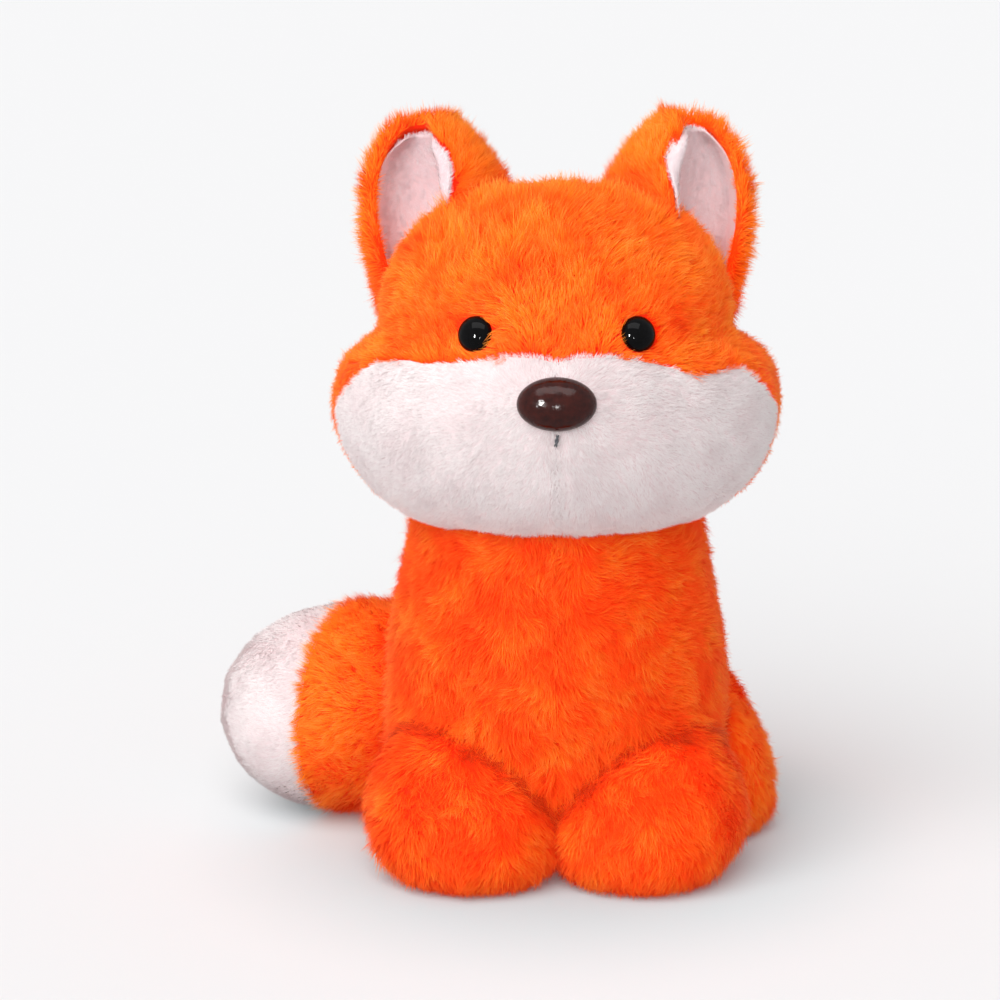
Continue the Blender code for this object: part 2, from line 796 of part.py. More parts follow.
def makeTail(legClear):
    """An orange sleeve and a white tip over one stuffing, hinged on a ball in the torso's back."""
    ball = ballMesh("tail_ball", ballRadius, BODY_SEGMENTS)
    keep = addGuide("tail_ball", ball, Matrix.Translation(tailRoot))
    bodyClear = offset(addGuide("tail_body_clear", torsoForm.copy()), GAP)
    addBoolean(bodyClear, legClear, "UNION")
    cut(bodyClear, keep)
    centre, _ = tailPlace(TAIL_LENGTH - TAIL_TIP_LENGTH)
    tipward = Vector((math.cos(TAIL_SEAM_AIM), math.sin(TAIL_SEAM_AIM), 0))
    half = tipward * GAP / 2
    beyondSeam = halfSpace("beyond_tail_seam", centre - half, tipward)
    beforeSeam = halfSpace("before_tail_seam", centre + half, -tipward)
    sleeve = addPart("tail_sleeve", tailForm.copy(), orangePlush, tailAxis)
    cut(thicken(sleeve, PLUSH_THICKNESS), beyondSeam, bodyClear)
    tip = addPart("tail_tip", tailForm.copy(), whitePlush, tailAxis)
    cut(thicken(tip, PLUSH_THICKNESS), beforeSeam)
    stuffing = addPart("tail_stuffing", tailCore, fibre, tailAxis)
    cut(offset(stuffing, -coreDepth - STUFFING_EASE), bodyClear)


clearScene()
partsCollection = makeCollection("plush_fox")
cutterCollection = makeCollection("cutters")

orangePlush = makeMaterial("orange plush", (0.92, 0.16, 0.02), 0.95)
whitePlush = makeMaterial("white plush", (0.88, 0.85, 0.85), 0.95)
fibre = makeMaterial("polyester fibre", (0.8, 0.8, 0.78), 1)
cotton = makeMaterial("cotton bag", (0.62, 0.58, 0.5), 0.9)
blackPlastic = makeMaterial("black plastic", (0.01, 0.01, 0.012), 0.08)
brownPlastic = makeMaterial("brown plastic", (0.05, 0.015, 0.012), 0.12)
whitePlastic = makeMaterial("white plastic", (0.8, 0.8, 0.78), 0.4)
orangeThread = makeMaterial("orange thread", (0.8, 0.14, 0.02), 0.8)
darkThread = makeMaterial("dark thread", (0.06, 0.06, 0.065), 0.8)

coreDepth = PLUSH_THICKNESS + GAP
neckCentre = BACK * NECK_SETBACK + UP * NECK_HEIGHT
tailRoot = Vector((TAIL_ROOT_X, TORSO_BACK - TAIL_ROOT_INSET, TAIL_RADIUS + TAIL_LIFT))

torsoForm = torsoMesh()
headForm = headMesh()
tailForm, tailCore = tailMesh()
headTree = surfaceOf(headForm)

turnAxis = addAxis("head_turn_axis", neckCentre)
nodAxis = addAxis("head_nod_axis", neckCentre, turnAxis)
tailAxis = addAxis("tail_axis", tailRoot)

floor = halfSpace("floor", UP * 0, -UP)
rightSide = halfSpace("right_side", -RIGHT * GAP / 2, RIGHT)
leftSide = halfSpace("left_side", RIGHT * GAP / 2, -RIGHT)
# The cup's flats clear the corners of the tail's ball at every angle of the swing.
ballRadius = roundedOut(TAIL_ROOT_RADIUS, BODY_SEGMENTS)
cupRadius = roundedOut(ballRadius + GAP, BODY_SEGMENTS)
cup = ballMesh("tail_cup", cupRadius, BODY_SEGMENTS)
tailCup = addGuide("tail_cup", cup, Matrix.Translation(tailRoot))

makeTorso()
makeNeck()
makeClosingStitch()
makeHead()
makeMouth()
makeEar("left", -1)
makeEar("right", 1)
makeTail(makeLegs())
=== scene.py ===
import json
import math

import bpy
import numpy as np
from mathutils import Matrix, Vector
from mathutils.bvhtree import BVHTree

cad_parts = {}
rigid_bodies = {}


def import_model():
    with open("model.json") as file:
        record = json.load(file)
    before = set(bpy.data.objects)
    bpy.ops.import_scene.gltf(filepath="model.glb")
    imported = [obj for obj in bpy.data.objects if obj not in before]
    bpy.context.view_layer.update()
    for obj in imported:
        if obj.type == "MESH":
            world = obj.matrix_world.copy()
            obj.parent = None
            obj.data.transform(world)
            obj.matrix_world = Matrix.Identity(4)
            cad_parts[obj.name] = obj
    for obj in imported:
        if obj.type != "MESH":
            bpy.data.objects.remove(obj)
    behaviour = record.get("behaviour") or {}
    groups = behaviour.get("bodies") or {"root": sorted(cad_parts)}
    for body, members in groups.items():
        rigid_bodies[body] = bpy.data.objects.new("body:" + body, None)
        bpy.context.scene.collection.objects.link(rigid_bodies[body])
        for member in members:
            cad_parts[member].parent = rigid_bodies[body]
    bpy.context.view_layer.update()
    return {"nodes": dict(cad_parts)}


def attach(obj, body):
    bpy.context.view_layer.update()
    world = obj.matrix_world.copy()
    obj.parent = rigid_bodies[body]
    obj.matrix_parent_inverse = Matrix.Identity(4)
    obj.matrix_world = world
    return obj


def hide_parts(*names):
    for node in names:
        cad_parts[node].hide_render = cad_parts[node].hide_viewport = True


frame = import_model()
nodes = frame["nodes"]
scene = bpy.context.scene
mm = 0.001
up = Vector((0, 0, 1))


# Small helpers: colours, nodes, selecting and shaping.

def hexColour(text, alpha=1):  # sRGB hex to the linear values that Blender wants
    parts = [int(text[i:i + 2], 16) / 255 for i in (1, 3, 5)]
    linear = [c / 12.92 if c <= 0.04045 else ((c + 0.055) / 1.055) ** 2.4 for c in parts]
    return (*linear, alpha)


def addNode(tree, kind, settings=None, links=None):  # links: own input -> another node's output
    node = tree.nodes.new(kind)
    for key, value in (settings or {}).items():
        if isinstance(key, int) or key in node.inputs:
            node.inputs[key].default_value = value
        else:
            setattr(node, key, value)
    for key, source in (links or {}).items():
        tree.links.new(source, node.inputs[key])
    return node


def newMaterial(name, **settings):
    material = bpy.data.materials.new(name)
    material.use_nodes = True
    shader = material.node_tree.nodes["Principled BSDF"]
    for key, value in settings.items():
        shader.inputs[key].default_value = value
    return material, material.node_tree, shader


def only(obj):  # deselects everything, then makes obj the one at work
    bpy.ops.object.select_all(action="DESELECT")
    obj.select_set(True)
    bpy.context.view_layer.objects.active = obj
    return obj


def editPicked(obj, chosen):  # opens obj in edit mode with only these vertices selected
    only(obj)
    mesh = obj.data
    mesh.polygons.foreach_set("select", np.zeros(len(mesh.polygons), bool))
    mesh.edges.foreach_set("select", np.zeros(len(mesh.edges), bool))
    mesh.vertices.foreach_set("select", np.asarray(chosen, bool))
    bpy.ops.object.mode_set(mode="EDIT")
    bpy.ops.mesh.select_mode(type="VERT")


def stopEditing():
    bpy.ops.object.mode_set(mode="OBJECT")


def shift(obj, chosen, by):
    editPicked(obj, chosen)
    bpy.ops.transform.translate(value=by)
    stopEditing()


def stretch(obj, chosen, by, about=(0, 0, 0)):
    editPicked(obj, chosen)
    bpy.ops.transform.resize(value=by, center_override=about)
    stopEditing()


def applyModifier(obj, kind, **settings):
    only(obj)
    modifier = obj.modifiers.new(kind.title(), kind)
    for key, value in settings.items():
        setattr(modifier, key, value)
    bpy.ops.object.modifier_apply(modifier=modifier.name)
    return obj


def softenForm(obj, levels):
    return applyModifier(obj, "SUBSURF", levels=levels, render_levels=levels)


def vertexArray(obj, what="co"):
    values = np.empty(len(obj.data.vertices) * 3, np.float32)
    obj.data.vertices.foreach_get(what, values)
    return values.reshape(-1, 3).astype(float)


def moveTo(obj, co):
    obj.data.vertices.foreach_set("co", np.ascontiguousarray(co, np.float32).ravel())
    obj.data.update()
    return obj


def setInPlace(obj, matrix):  # puts the place into the mesh and leaves the object at the origin
    only(obj)
    obj.matrix_world = matrix
    bpy.ops.object.transform_apply(location=True, rotation=True, scale=True)
    return obj


def copyOf(obj, name):
    twin = bpy.data.objects.new(name, obj.data.copy())
    scene.collection.objects.link(twin)
    return twin


def cutAway(obj, point, normal):  # removes what lies on the side that normal points to
    editPicked(obj, np.ones(len(obj.data.vertices), bool))
    bpy.ops.mesh.bisect(plane_co=point, plane_no=normal, clear_outer=True)
    stopEditing()
    return obj


def treeOf(obj):
    return BVHTree.FromPolygons(
        [v.co for v in obj.data.vertices], [p.vertices for p in obj.data.polygons])


def depthIn(tree, points):  # how deep each point lies inside a closed form, below zero outside
    depths = np.empty(len(points))
    for i, p in enumerate(points):
        near, normal, _, gap = tree.find_nearest(Vector(p))
        depths[i] = gap if (Vector(p) - near).dot(normal) < 0 else -gap
    return depths


def trimInside(obj, tree, deeper):  # deletes the faces that lie deeper than this in another form
    centres = np.array([p.center for p in obj.data.polygons])
    hidden = depthIn(tree, centres) > deeper
    only(obj)
    obj.data.vertices.foreach_set("select", np.zeros(len(obj.data.vertices), bool))
    obj.data.edges.foreach_set("select", np.zeros(len(obj.data.edges), bool))
    obj.data.polygons.foreach_set("select", hidden)
    bpy.ops.object.mode_set(mode="EDIT")
    bpy.ops.mesh.select_mode(type="FACE")
    bpy.ops.mesh.delete(type="FACE")
    stopEditing()
    return obj


def limitSwell(segments):  # how far a cage ring stands outside its subdivided surface
    return 1 / (2 / 3 + math.cos(2 * math.pi / segments) / 3)


def addRows(name, segments, rows):  # a ball whose rings the caller then moves, lowest first
    bpy.ops.object.select_all(action="DESELECT")
    bpy.ops.mesh.primitive_uv_sphere_add(segments=segments, ring_count=rows, radius=1)
    ball = bpy.context.object
    ball.name = name
    heights = vertexArray(ball)[:, 2]
    ringOf = np.round(rows * (1 - np.arccos(np.clip(heights, -1, 1)) / math.pi)).astype(int)
    return ball, ringOf


def ringFacts(rows, ring):  # the height and radius of a ring on the plain ball
    angle = math.pi * ring / rows
    return -math.cos(angle), max(math.sin(angle), 1e-9)


# The camera comes first, so that every piece can be looked at.

cameraSet = {
    "place": (0.0, -0.7209, 0.2637),
    "target": (0.0, 0.0, 0.1105),
    "lens": 85,
    "sensor": 36,
    "shift": -0.0567,  # the toy stands a little right of the picture's middle
}
bpy.ops.object.select_all(action="DESELECT")
bpy.ops.object.camera_add(location=cameraSet["place"])
camera = bpy.context.object
camera.name = "photo_camera"
camera.data.lens = cameraSet["lens"]
camera.data.sensor_width = cameraSet["sensor"]
camera.data.shift_x = cameraSet["shift"]
aim = Vector(cameraSet["target"]) - Vector(cameraSet["place"])
camera.rotation_mode = "QUATERNION"
camera.rotation_quaternion = aim.to_track_quat("-Z", "Y")
scene.camera = camera
print("camera set")


# The stuffed shapes that the pile grows on.

torsoSet = {
    "segments": 16,
    "neck": (0.0, 0.004, 0.097),
    "shoulder": 0.0455,
    "halfWidth": 0.0545,
    "front": 0.044,
    "back": 0.052,
    "rows": (  # height, roundness and swell, from the underside up
        (0.0, 0.0, 1.0), (0.0, 0.4, 1.0), (0.003, 0.7, 1.0), (0.06, 0.84, 1.0),
        (0.2, 0.92, 1.0), (0.42, 0.98, 1.0), (0.72, 1.0, 0.7),
    ),
    "shoulderRows": 4,
    "levels": 3,
}


def makeTorsoForm(s):
    low = len(s["rows"])
    rows = low + s["shoulderRows"]
    form, ringOf = addRows("torso_form", s["segments"], rows)
    neck = Vector(s["neck"])
    swell = limitSwell(s["segments"])
    for ring in range(rows + 1):
        height, radius = ringFacts(rows, ring)
        if ring < low:
            heightShare, roundShare, swellShare = s["rows"][ring]
            width = s["shoulder"] + (s["halfWidth"] - s["shoulder"]) * swellShare
            front = s["shoulder"] + (s["front"] + neck.y - s["shoulder"]) * swellShare
            back = s["shoulder"] + (s["back"] - neck.y - s["shoulder"]) * swellShare
            width, front, back = (v * roundShare * swell for v in (width, front, back))
            level = heightShare * neck.z
        else:
            angle = math.pi / 2 * (ring - low) / s["shoulderRows"]
            width = front = back = s["shoulder"] * swell * max(math.cos(angle), 1e-9)
            level = neck.z + s["shoulder"] * math.sin(angle)
        here = ringOf == ring
        y = vertexArray(form)[:, 1]
        stretch(form, here & (y < -1e-6), (1, front / radius, 1))
        stretch(form, here & (y > 1e-6), (1, back / radius, 1))
        stretch(form, here, (width / radius, 1, 1))
        shift(form, here, (0, neck.y, level - height))
    return softenForm(form, s["levels"])


headSet = {
    "segments": 8,
    "bottom": 0.106,
    "height": 0.103,
    "halfWidth": 0.068,
    "halfDepth": 0.0515,
    "setback": -0.009,
    "rows": (  # height, half width, reach to the front and to the back, from the chin up
        (0.0, 0.0, 0.0, 0.0), (0.0, 0.7, 0.72, 0.64), (0.16, 0.97, 1.03, 0.94),
        (0.335, 1.05, 1.07, 1.03), (0.445, 1.01, 1.06, 1.03), (0.51, 0.94, 1.02, 1.02),
        (0.55, 0.8, 0.99, 1.01), (0.62, 0.8, 0.95, 0.99), (0.74, 0.79, 0.83, 0.94),
        (0.92, 0.57, 0.52, 0.62), (1.0, 0.0, 0.0, 0.0),
    ),
    "levels": 4,
}


def makeHeadForm(s):
    rows = len(s["rows"]) - 1
    form, ringOf = addRows("head_form", s["segments"], rows)
    for ring, (heightShare, wide, front, back) in enumerate(s["rows"]):
        height, radius = ringFacts(rows, ring)
        here = ringOf == ring
        y = vertexArray(form)[:, 1]
        stretch(form, here & (y < -1e-6), (1, s["halfDepth"] * front / radius, 1))
        stretch(form, here & (y > 1e-6), (1, s["halfDepth"] * back / radius, 1))
        stretch(form, here, (s["halfWidth"] * wide / radius, 1, 1))
        shift(form, here, (0, s["setback"], s["height"] * heightShare - height))
    softenForm(form, s["levels"])
    co = vertexArray(form)
    everything = np.ones(len(co), bool)
    tall = s["height"] / (co[:, 2].max() - co[:, 2].min())
    shift(form, everything, (0, 0, -co[:, 2].min()))
    stretch(form, everything, (s["halfWidth"] / co[:, 0].max(), 1, tall))
    shift(form, everything, (0, 0, s["bottom"]))
    return form


legSets = {
    "front": {
        "segments": 10, "radius": 0.0305, "length": 0.0535, "x": 0.0252, "y": -0.0315,
        "splay": 5, "rake": 16, "levels": 3,
        "rows": ((0.0, 0.0), (0.0, 0.74), (0.17, 1.03), (0.48, 1.03), (0.84, 0.62), (0.96, 0.0)),
    },
    "hind": {
        "segments": 10, "radius": 0.026, "length": 0.066, "x": 0.0458, "y": 0.012,
        "splay": -8, "rake": 6, "levels": 3,
        "rows": ((0.0, 0.0), (0.0, 0.8), (0.14, 1.04), (0.45, 1.0), (0.84, 0.55), (1.0, 0.0)),
    },
}


def makeLegForm(name, s, sign, tuck=0.0):
    rows = len(s["rows"]) - 1
    form, ringOf = addRows(name, s["segments"], rows)
    swell = limitSwell(s["segments"])
    for ring, (heightShare, radiusShare) in enumerate(s["rows"]):
        height, radius = ringFacts(rows, ring)
        level = s["length"] * heightShare
        wide = s["radius"] * radiusShare * swell / radius
        here = ringOf == ring
        stretch(form, here, (wide, wide, 1))
        x = sign * (s["x"] - tuck + math.tan(math.radians(s["splay"])) * level)
        y = s["y"] + math.tan(math.radians(s["rake"])) * level
        shift(form, here, (x, y, level - height))
    softenForm(form, s["levels"])
    low = vertexArray(form)[:, 2].min()
    shift(form, np.ones(len(form.data.vertices), bool), (0, 0, -low))
    return form


tailSet = {
    "segments": 10,
    "length": 0.107,
    "radius": 0.0335,
    "rootRadius": 0.021,
    "root": (-0.008, 0.048, 0.0341),
    "aim": 190,
    "bend": 14,
    "rootRows": ((-1.0, 0.0), (-0.7, 0.72), (0.0, 1.0)),  # in root radii
    "rows": ((0.22, 0.78), (0.48, 1.05), (0.76, 0.98), (0.93, 0.6), (1.0, 0.0)),
    "levels": 3,
    "tip": 0.043,
    "seamAim": 160,
}


def makeTailForm(s):  # modelled straight along X, then bent and swung to its place
    rings = [(s["rootRadius"] * a, s["rootRadius"] * r) for a, r in s["rootRows"]]
    rings += [(s["length"] * a, s["radius"] * r) for a, r in s["rows"]]
    rows = len(rings) - 1
    form, ringOf = addRows("tail_form", s["segments"], rows)
    swell = limitSwell(s["segments"])
    for ring, (along, ringRadius) in enumerate(rings):
        height, radius = ringFacts(rows, ring)
        wide = ringRadius * swell / radius
        here = ringOf == ring
        stretch(form, here, (wide, wide, 1))
        shift(form, here, (0, 0, along - height))
    softenForm(form, s["levels"])
    setInPlace(form, Matrix.Rotation(math.pi / 2, 4, "Y"))
    co = vertexArray(form)
    span = co[:, 0].max() - co[:, 0].min()
    turn = math.radians(s["bend"]) * span / s["length"]
    applyModifier(form, "SIMPLE_DEFORM", deform_method="BEND", deform_axis="Z", angle=turn)
    swing = Matrix.Rotation(math.radians(s["aim"]), 4, "Z")
    return setInPlace(form, Matrix.Translation(s["root"]) @ swing)


def tailMiddle(along):  # the middle line of the tail, and the way it points there
    s = tailSet
    bend = math.radians(s["bend"]) * along / s["length"]
    middle, ahead = math.radians(s["aim"]) + bend / 2, math.radians(s["aim"]) + bend
    return (Vector(s["root"]) + Vector((math.cos(middle), math.sin(middle), 0)) * along,
            Vector((math.cos(ahead), math.sin(ahead), 0)))


lumps = {"depth": 0.7 * mm, "size": 0.017, "seed": 5}


def softNoise(points, rng, size, waves=8):
    total = np.zeros(len(points))
    for _ in range(waves):
        way = rng.normal(size=3)
        way /= np.linalg.norm(way)
        pitch = 2 * math.pi / (size * rng.uniform(0.7, 1.6))
        total += np.sin(points @ way * pitch + rng.uniform(0, 2 * math.pi))
    return total / math.sqrt(waves / 2)


def pressLumps(obj):  # loose filling leaves soft hollows in a stuffed form
    co, normals = vertexArray(obj), vertexArray(obj, "normal")
    hollow = softNoise(co, np.random.default_rng(lumps["seed"]), lumps["size"])
    hollow = np.clip(0.5 + 0.35 * hollow, 0, 1)[:, None]
    return moveTo(obj, co - normals * hollow * lumps["depth"])


torsoForm = makeTorsoForm(torsoSet)
headForm = makeHeadForm(headSet)
frontForms = {side: makeLegForm(f"front_{side}_form", legSets["front"], sign)
              for side, sign in (("left", -1), ("right", 1))}
hindForms = {"left": makeLegForm("hind_left_form", legSets["hind"], -1, 0.008),
             "right": makeLegForm("hind_right_form", legSets["hind"], 1)}
tailForm = makeTailForm(tailSet)
for form in (torsoForm, headForm, tailForm, *frontForms.values(), *hindForms.values()):
    pressLumps(form)
torsoTree, headTree, tailTree = treeOf(torsoForm), treeOf(headForm), treeOf(tailForm)
frontTrees = {side: treeOf(form) for side, form in frontForms.items()}
hindTrees = {side: treeOf(form) for side, form in hindForms.items()}
print("forms shaped")


earSet = {
    "spacing": 0.077,
    "y": -0.001,
    "radius": 0.0165,
    "height": 0.028,
    "root": 0.026,
    "tilt": 4,
    "columns": 12,
    "wall": 0.0032,
    "liningWall": 0.0006,
    "levels": 2,
    "turn": {-1: 0, 1: 7},  # the right ear is turned outwards a little
    "rows": (  # height, radius, and half turns from the back to the outer and the front edge
        (-1.0, 0.84, -0.72, 1.04), (-0.54, 0.95, -0.66, 1.02), (-0.08, 1.04, -0.6, 0.98),
        (0.33, 1.01, -0.56, 0.92), (0.64, 0.84, -0.52, 0.88), (0.84, 0.62, -0.47, 0.88),
        (1.0, 0.34, -0.38, 0.84),
    ),
    "hem": 2.4 * mm,
    "topHem": {-1: 2.4 * mm, 1: 1.0 * mm},
    "widen": (1.14, 1.14, 1.14, 1.1, 1.04, 1.0, 1.0),  # towards the middle of the head
    "lapel": {  # how far the lining reaches past the front edge, row by row, in mm
        -1: (-2.4, -2.4, 0.0, 6.0, 7.5, 6.0, -1.0),
        1: (-2.4, -2.4, 0.0, 5.0, 8.5, 9.0, 7.0),
    },
    "lapelLift": 0.8 * mm,
    "foldRoom": 3.0 * mm,  # the fold stands this far clear of the shell's front edge
    "fullness": 0.4,  # how far the lining bridges its cup instead of lying in it
    "liningColumns": 26,
}


def makeEarForm(name, sign, lining=False):  # a flat cut that is bent into a cup
    s = earSet
    rows = len(s["rows"]) - 1
    columns = s["liningColumns"] if lining else s["columns"]
    bpy.ops.object.select_all(action="DESELECT")
    bpy.ops.mesh.primitive_grid_add(
        x_subdivisions=columns, y_subdivisions=rows, size=2, rotation=(math.pi / 2, 0, 0))
    flap = bpy.context.object
    flap.name = name
    bpy.ops.object.transform_apply(location=True, rotation=True, scale=True)
    rowOf = np.round((vertexArray(flap)[:, 2] + 1) / 2 * rows).astype(int)
    columnOf = np.round((vertexArray(flap)[:, 0] + 1) / 2 * columns).astype(int)
    radius = s["radius"]
    arc = math.pi * radius
    for row, (heightShare, _, outer, front) in enumerate(s["rows"]):
        here = rowOf == row
        low, high = arc * outer, arc * front
        level = heightShare * (s["height"] if heightShare > 0 else s["root"])
        if lining:
            low += s["hem"]
            high += s["lapel"][sign][row] * mm
            level -= s["topHem"][sign] * max(0, row - rows + 2) / 2
        stretch(flap, here, ((high - low) / 2, 1, 1))
        shift(flap, here, ((high + low) / 2, 0, level - (row / rows * 2 - 1)))
    along = vertexArray(flap)[:, 0]
    turn = (along.max() - along.min()) / radius
    everything = np.ones(len(along), bool)
    applyModifier(flap, "SIMPLE_DEFORM", deform_method="BEND", deform_axis="Z", angle=turn)
    stretch(flap, everything, (-1, -1, 1))
    shift(flap, everything, (0, radius, 0))
    if lining:
        foldLining(flap, rowOf, columnOf, along, columns)
    for row, (_, share, _, _) in enumerate(s["rows"]):
        stretch(flap, rowOf == row, (share, share, 1))
        stretch(flap, rowOf == row, (s["widen"][row], 1, 1), (radius * share + s["wall"], 0, 0))
    softenForm(flap, s["levels"])
    if sign < 0:
        stretch(flap, np.ones(len(flap.data.vertices), bool), (-1, 1, 1))
    co, normals = vertexArray(flap), vertexArray(flap, "normal")
    low = co[:, 2] < 0  # the part without a lapel tells which way the cloth faces
    if (co[low, :2] * normals[low, :2]).sum() < 0:
        editPicked(flap, np.ones(len(co), bool))
        bpy.ops.mesh.flip_normals()
        stopEditing()
    twist = Matrix.Rotation(math.radians(s["turn"][sign]), 4, "Z")
    return setInPlace(flap, earFrame(sign) @ twist)


def foldLining(flap, rowOf, columnOf, along, columns):
    s = earSet
    fronts = np.array([row[3] for row in s["rows"]])
    rears = np.array([row[2] for row in s["rows"]])
    edge = math.pi * s["radius"] * fronts[rowOf] + s["foldRoom"]
    rear = math.pi * s["radius"] * rears[rowOf] + s["hem"]
    over = along > edge  # what reaches past the shell's front edge turns back outside it
    where = np.where(over, 2 * edge - along, along) / s["radius"]
    shares = np.array([row[1] for row in s["rows"]])[rowOf]
    away = np.where(over, (s["wall"] + s["lapelLift"]) / shares, -0.4 * mm)
    border = (columnOf == 0) | (rowOf == rowOf.max()) | ((columnOf == columns) & ~over)
    away = np.where(border, 0.3 * mm, away)  # the cut edges are sewn into the shell
    reach = s["radius"] + away
    co = vertexArray(flap)
    co[:, 0], co[:, 1] = -np.sin(where) * reach, np.cos(where) * reach
    # Inside, it is drawn towards the straight line between its two long edges.
    share = np.clip((along - rear) / (edge - rear), 0, 1)
    ends = [np.stack([-np.sin(a / s["radius"]), np.cos(a / s["radius"])], 1) * s["radius"]
            for a in (rear, edge)]
    chord = ends[0] * (1 - share)[:, None] + ends[1] * share[:, None]
    pull = np.where(over, 0, s["fullness"] * np.sin(math.pi * share) ** 1.1)[:, None]
    co[:, :2] = co[:, :2] * (1 - pull) + chord * pull
    moveTo(flap, co)


def earFrame(sign):
    tilt = math.radians(earSet["tilt"])
    across = Vector((sign * math.cos(tilt), 0, -math.sin(tilt)))
    out = Vector((sign * math.sin(tilt), 0, math.cos(tilt)))
    above = Vector((sign * earSet["spacing"] / 2, earSet["y"], 1))
    foot, _, _, _ = headTree.ray_cast(above, -up)
    # X is flipped for the left ear in the mesh, so the frame here is always right-handed
    spin = Matrix((across * sign, Vector((0, 1, 0)), out)).transposed().to_4x4()
    return Matrix.Translation(foot) @ spin


# Pile: strands of fibre grown on a skin, in loose tufts that lie along a flow.

def unit(rows):
    return rows / np.maximum(np.linalg.norm(rows, axis=1, keepdims=True), 1e-12)


def nearestOf(points, seeds):
    best = np.empty(len(points), int)
    weight = (seeds ** 2).sum(1)
    for start in range(0, len(points), 8192):
        part = points[start:start + 8192]
        best[start:start + 8192] = (weight - 2 * part @ seeds.T).argmin(1)
    return best


def sampleSkin(skin, rng, density, faces=None):  # even random roots on the skin
    mesh = skin.data
    mesh.calc_loop_triangles()
    tris = np.empty(len(mesh.loop_triangles) * 3, np.int32)
    mesh.loop_triangles.foreach_get("vertices", tris)
    tris = tris.reshape(-1, 3)
    if faces is not None:
        owner = np.empty(len(mesh.loop_triangles), np.int32)
        mesh.loop_triangles.foreach_get("polygon_index", owner)
        tris = tris[faces[owner]]
    co, normals = vertexArray(skin), vertexArray(skin, "normal")
    a, b, c = (co[tris[:, k]] for k in range(3))
    areas = np.linalg.norm(np.cross(b - a, c - a), axis=1) / 2
    total = areas.sum()
    count = int(total * 1e6 * density)
    place = (np.arange(count) + rng.random(count)) / count * total
    which = np.minimum(np.searchsorted(np.cumsum(areas), place), len(areas) - 1)
    r, q = np.sqrt(rng.random(count)), rng.random(count)
    shares = np.stack([1 - r, r * (1 - q), r * q], 1)[:, :, None]
    picked = tris[which]
    roots = (co[picked] * shares).sum(1)
    return roots, unit((normals[picked] * shares).sum(1)), total


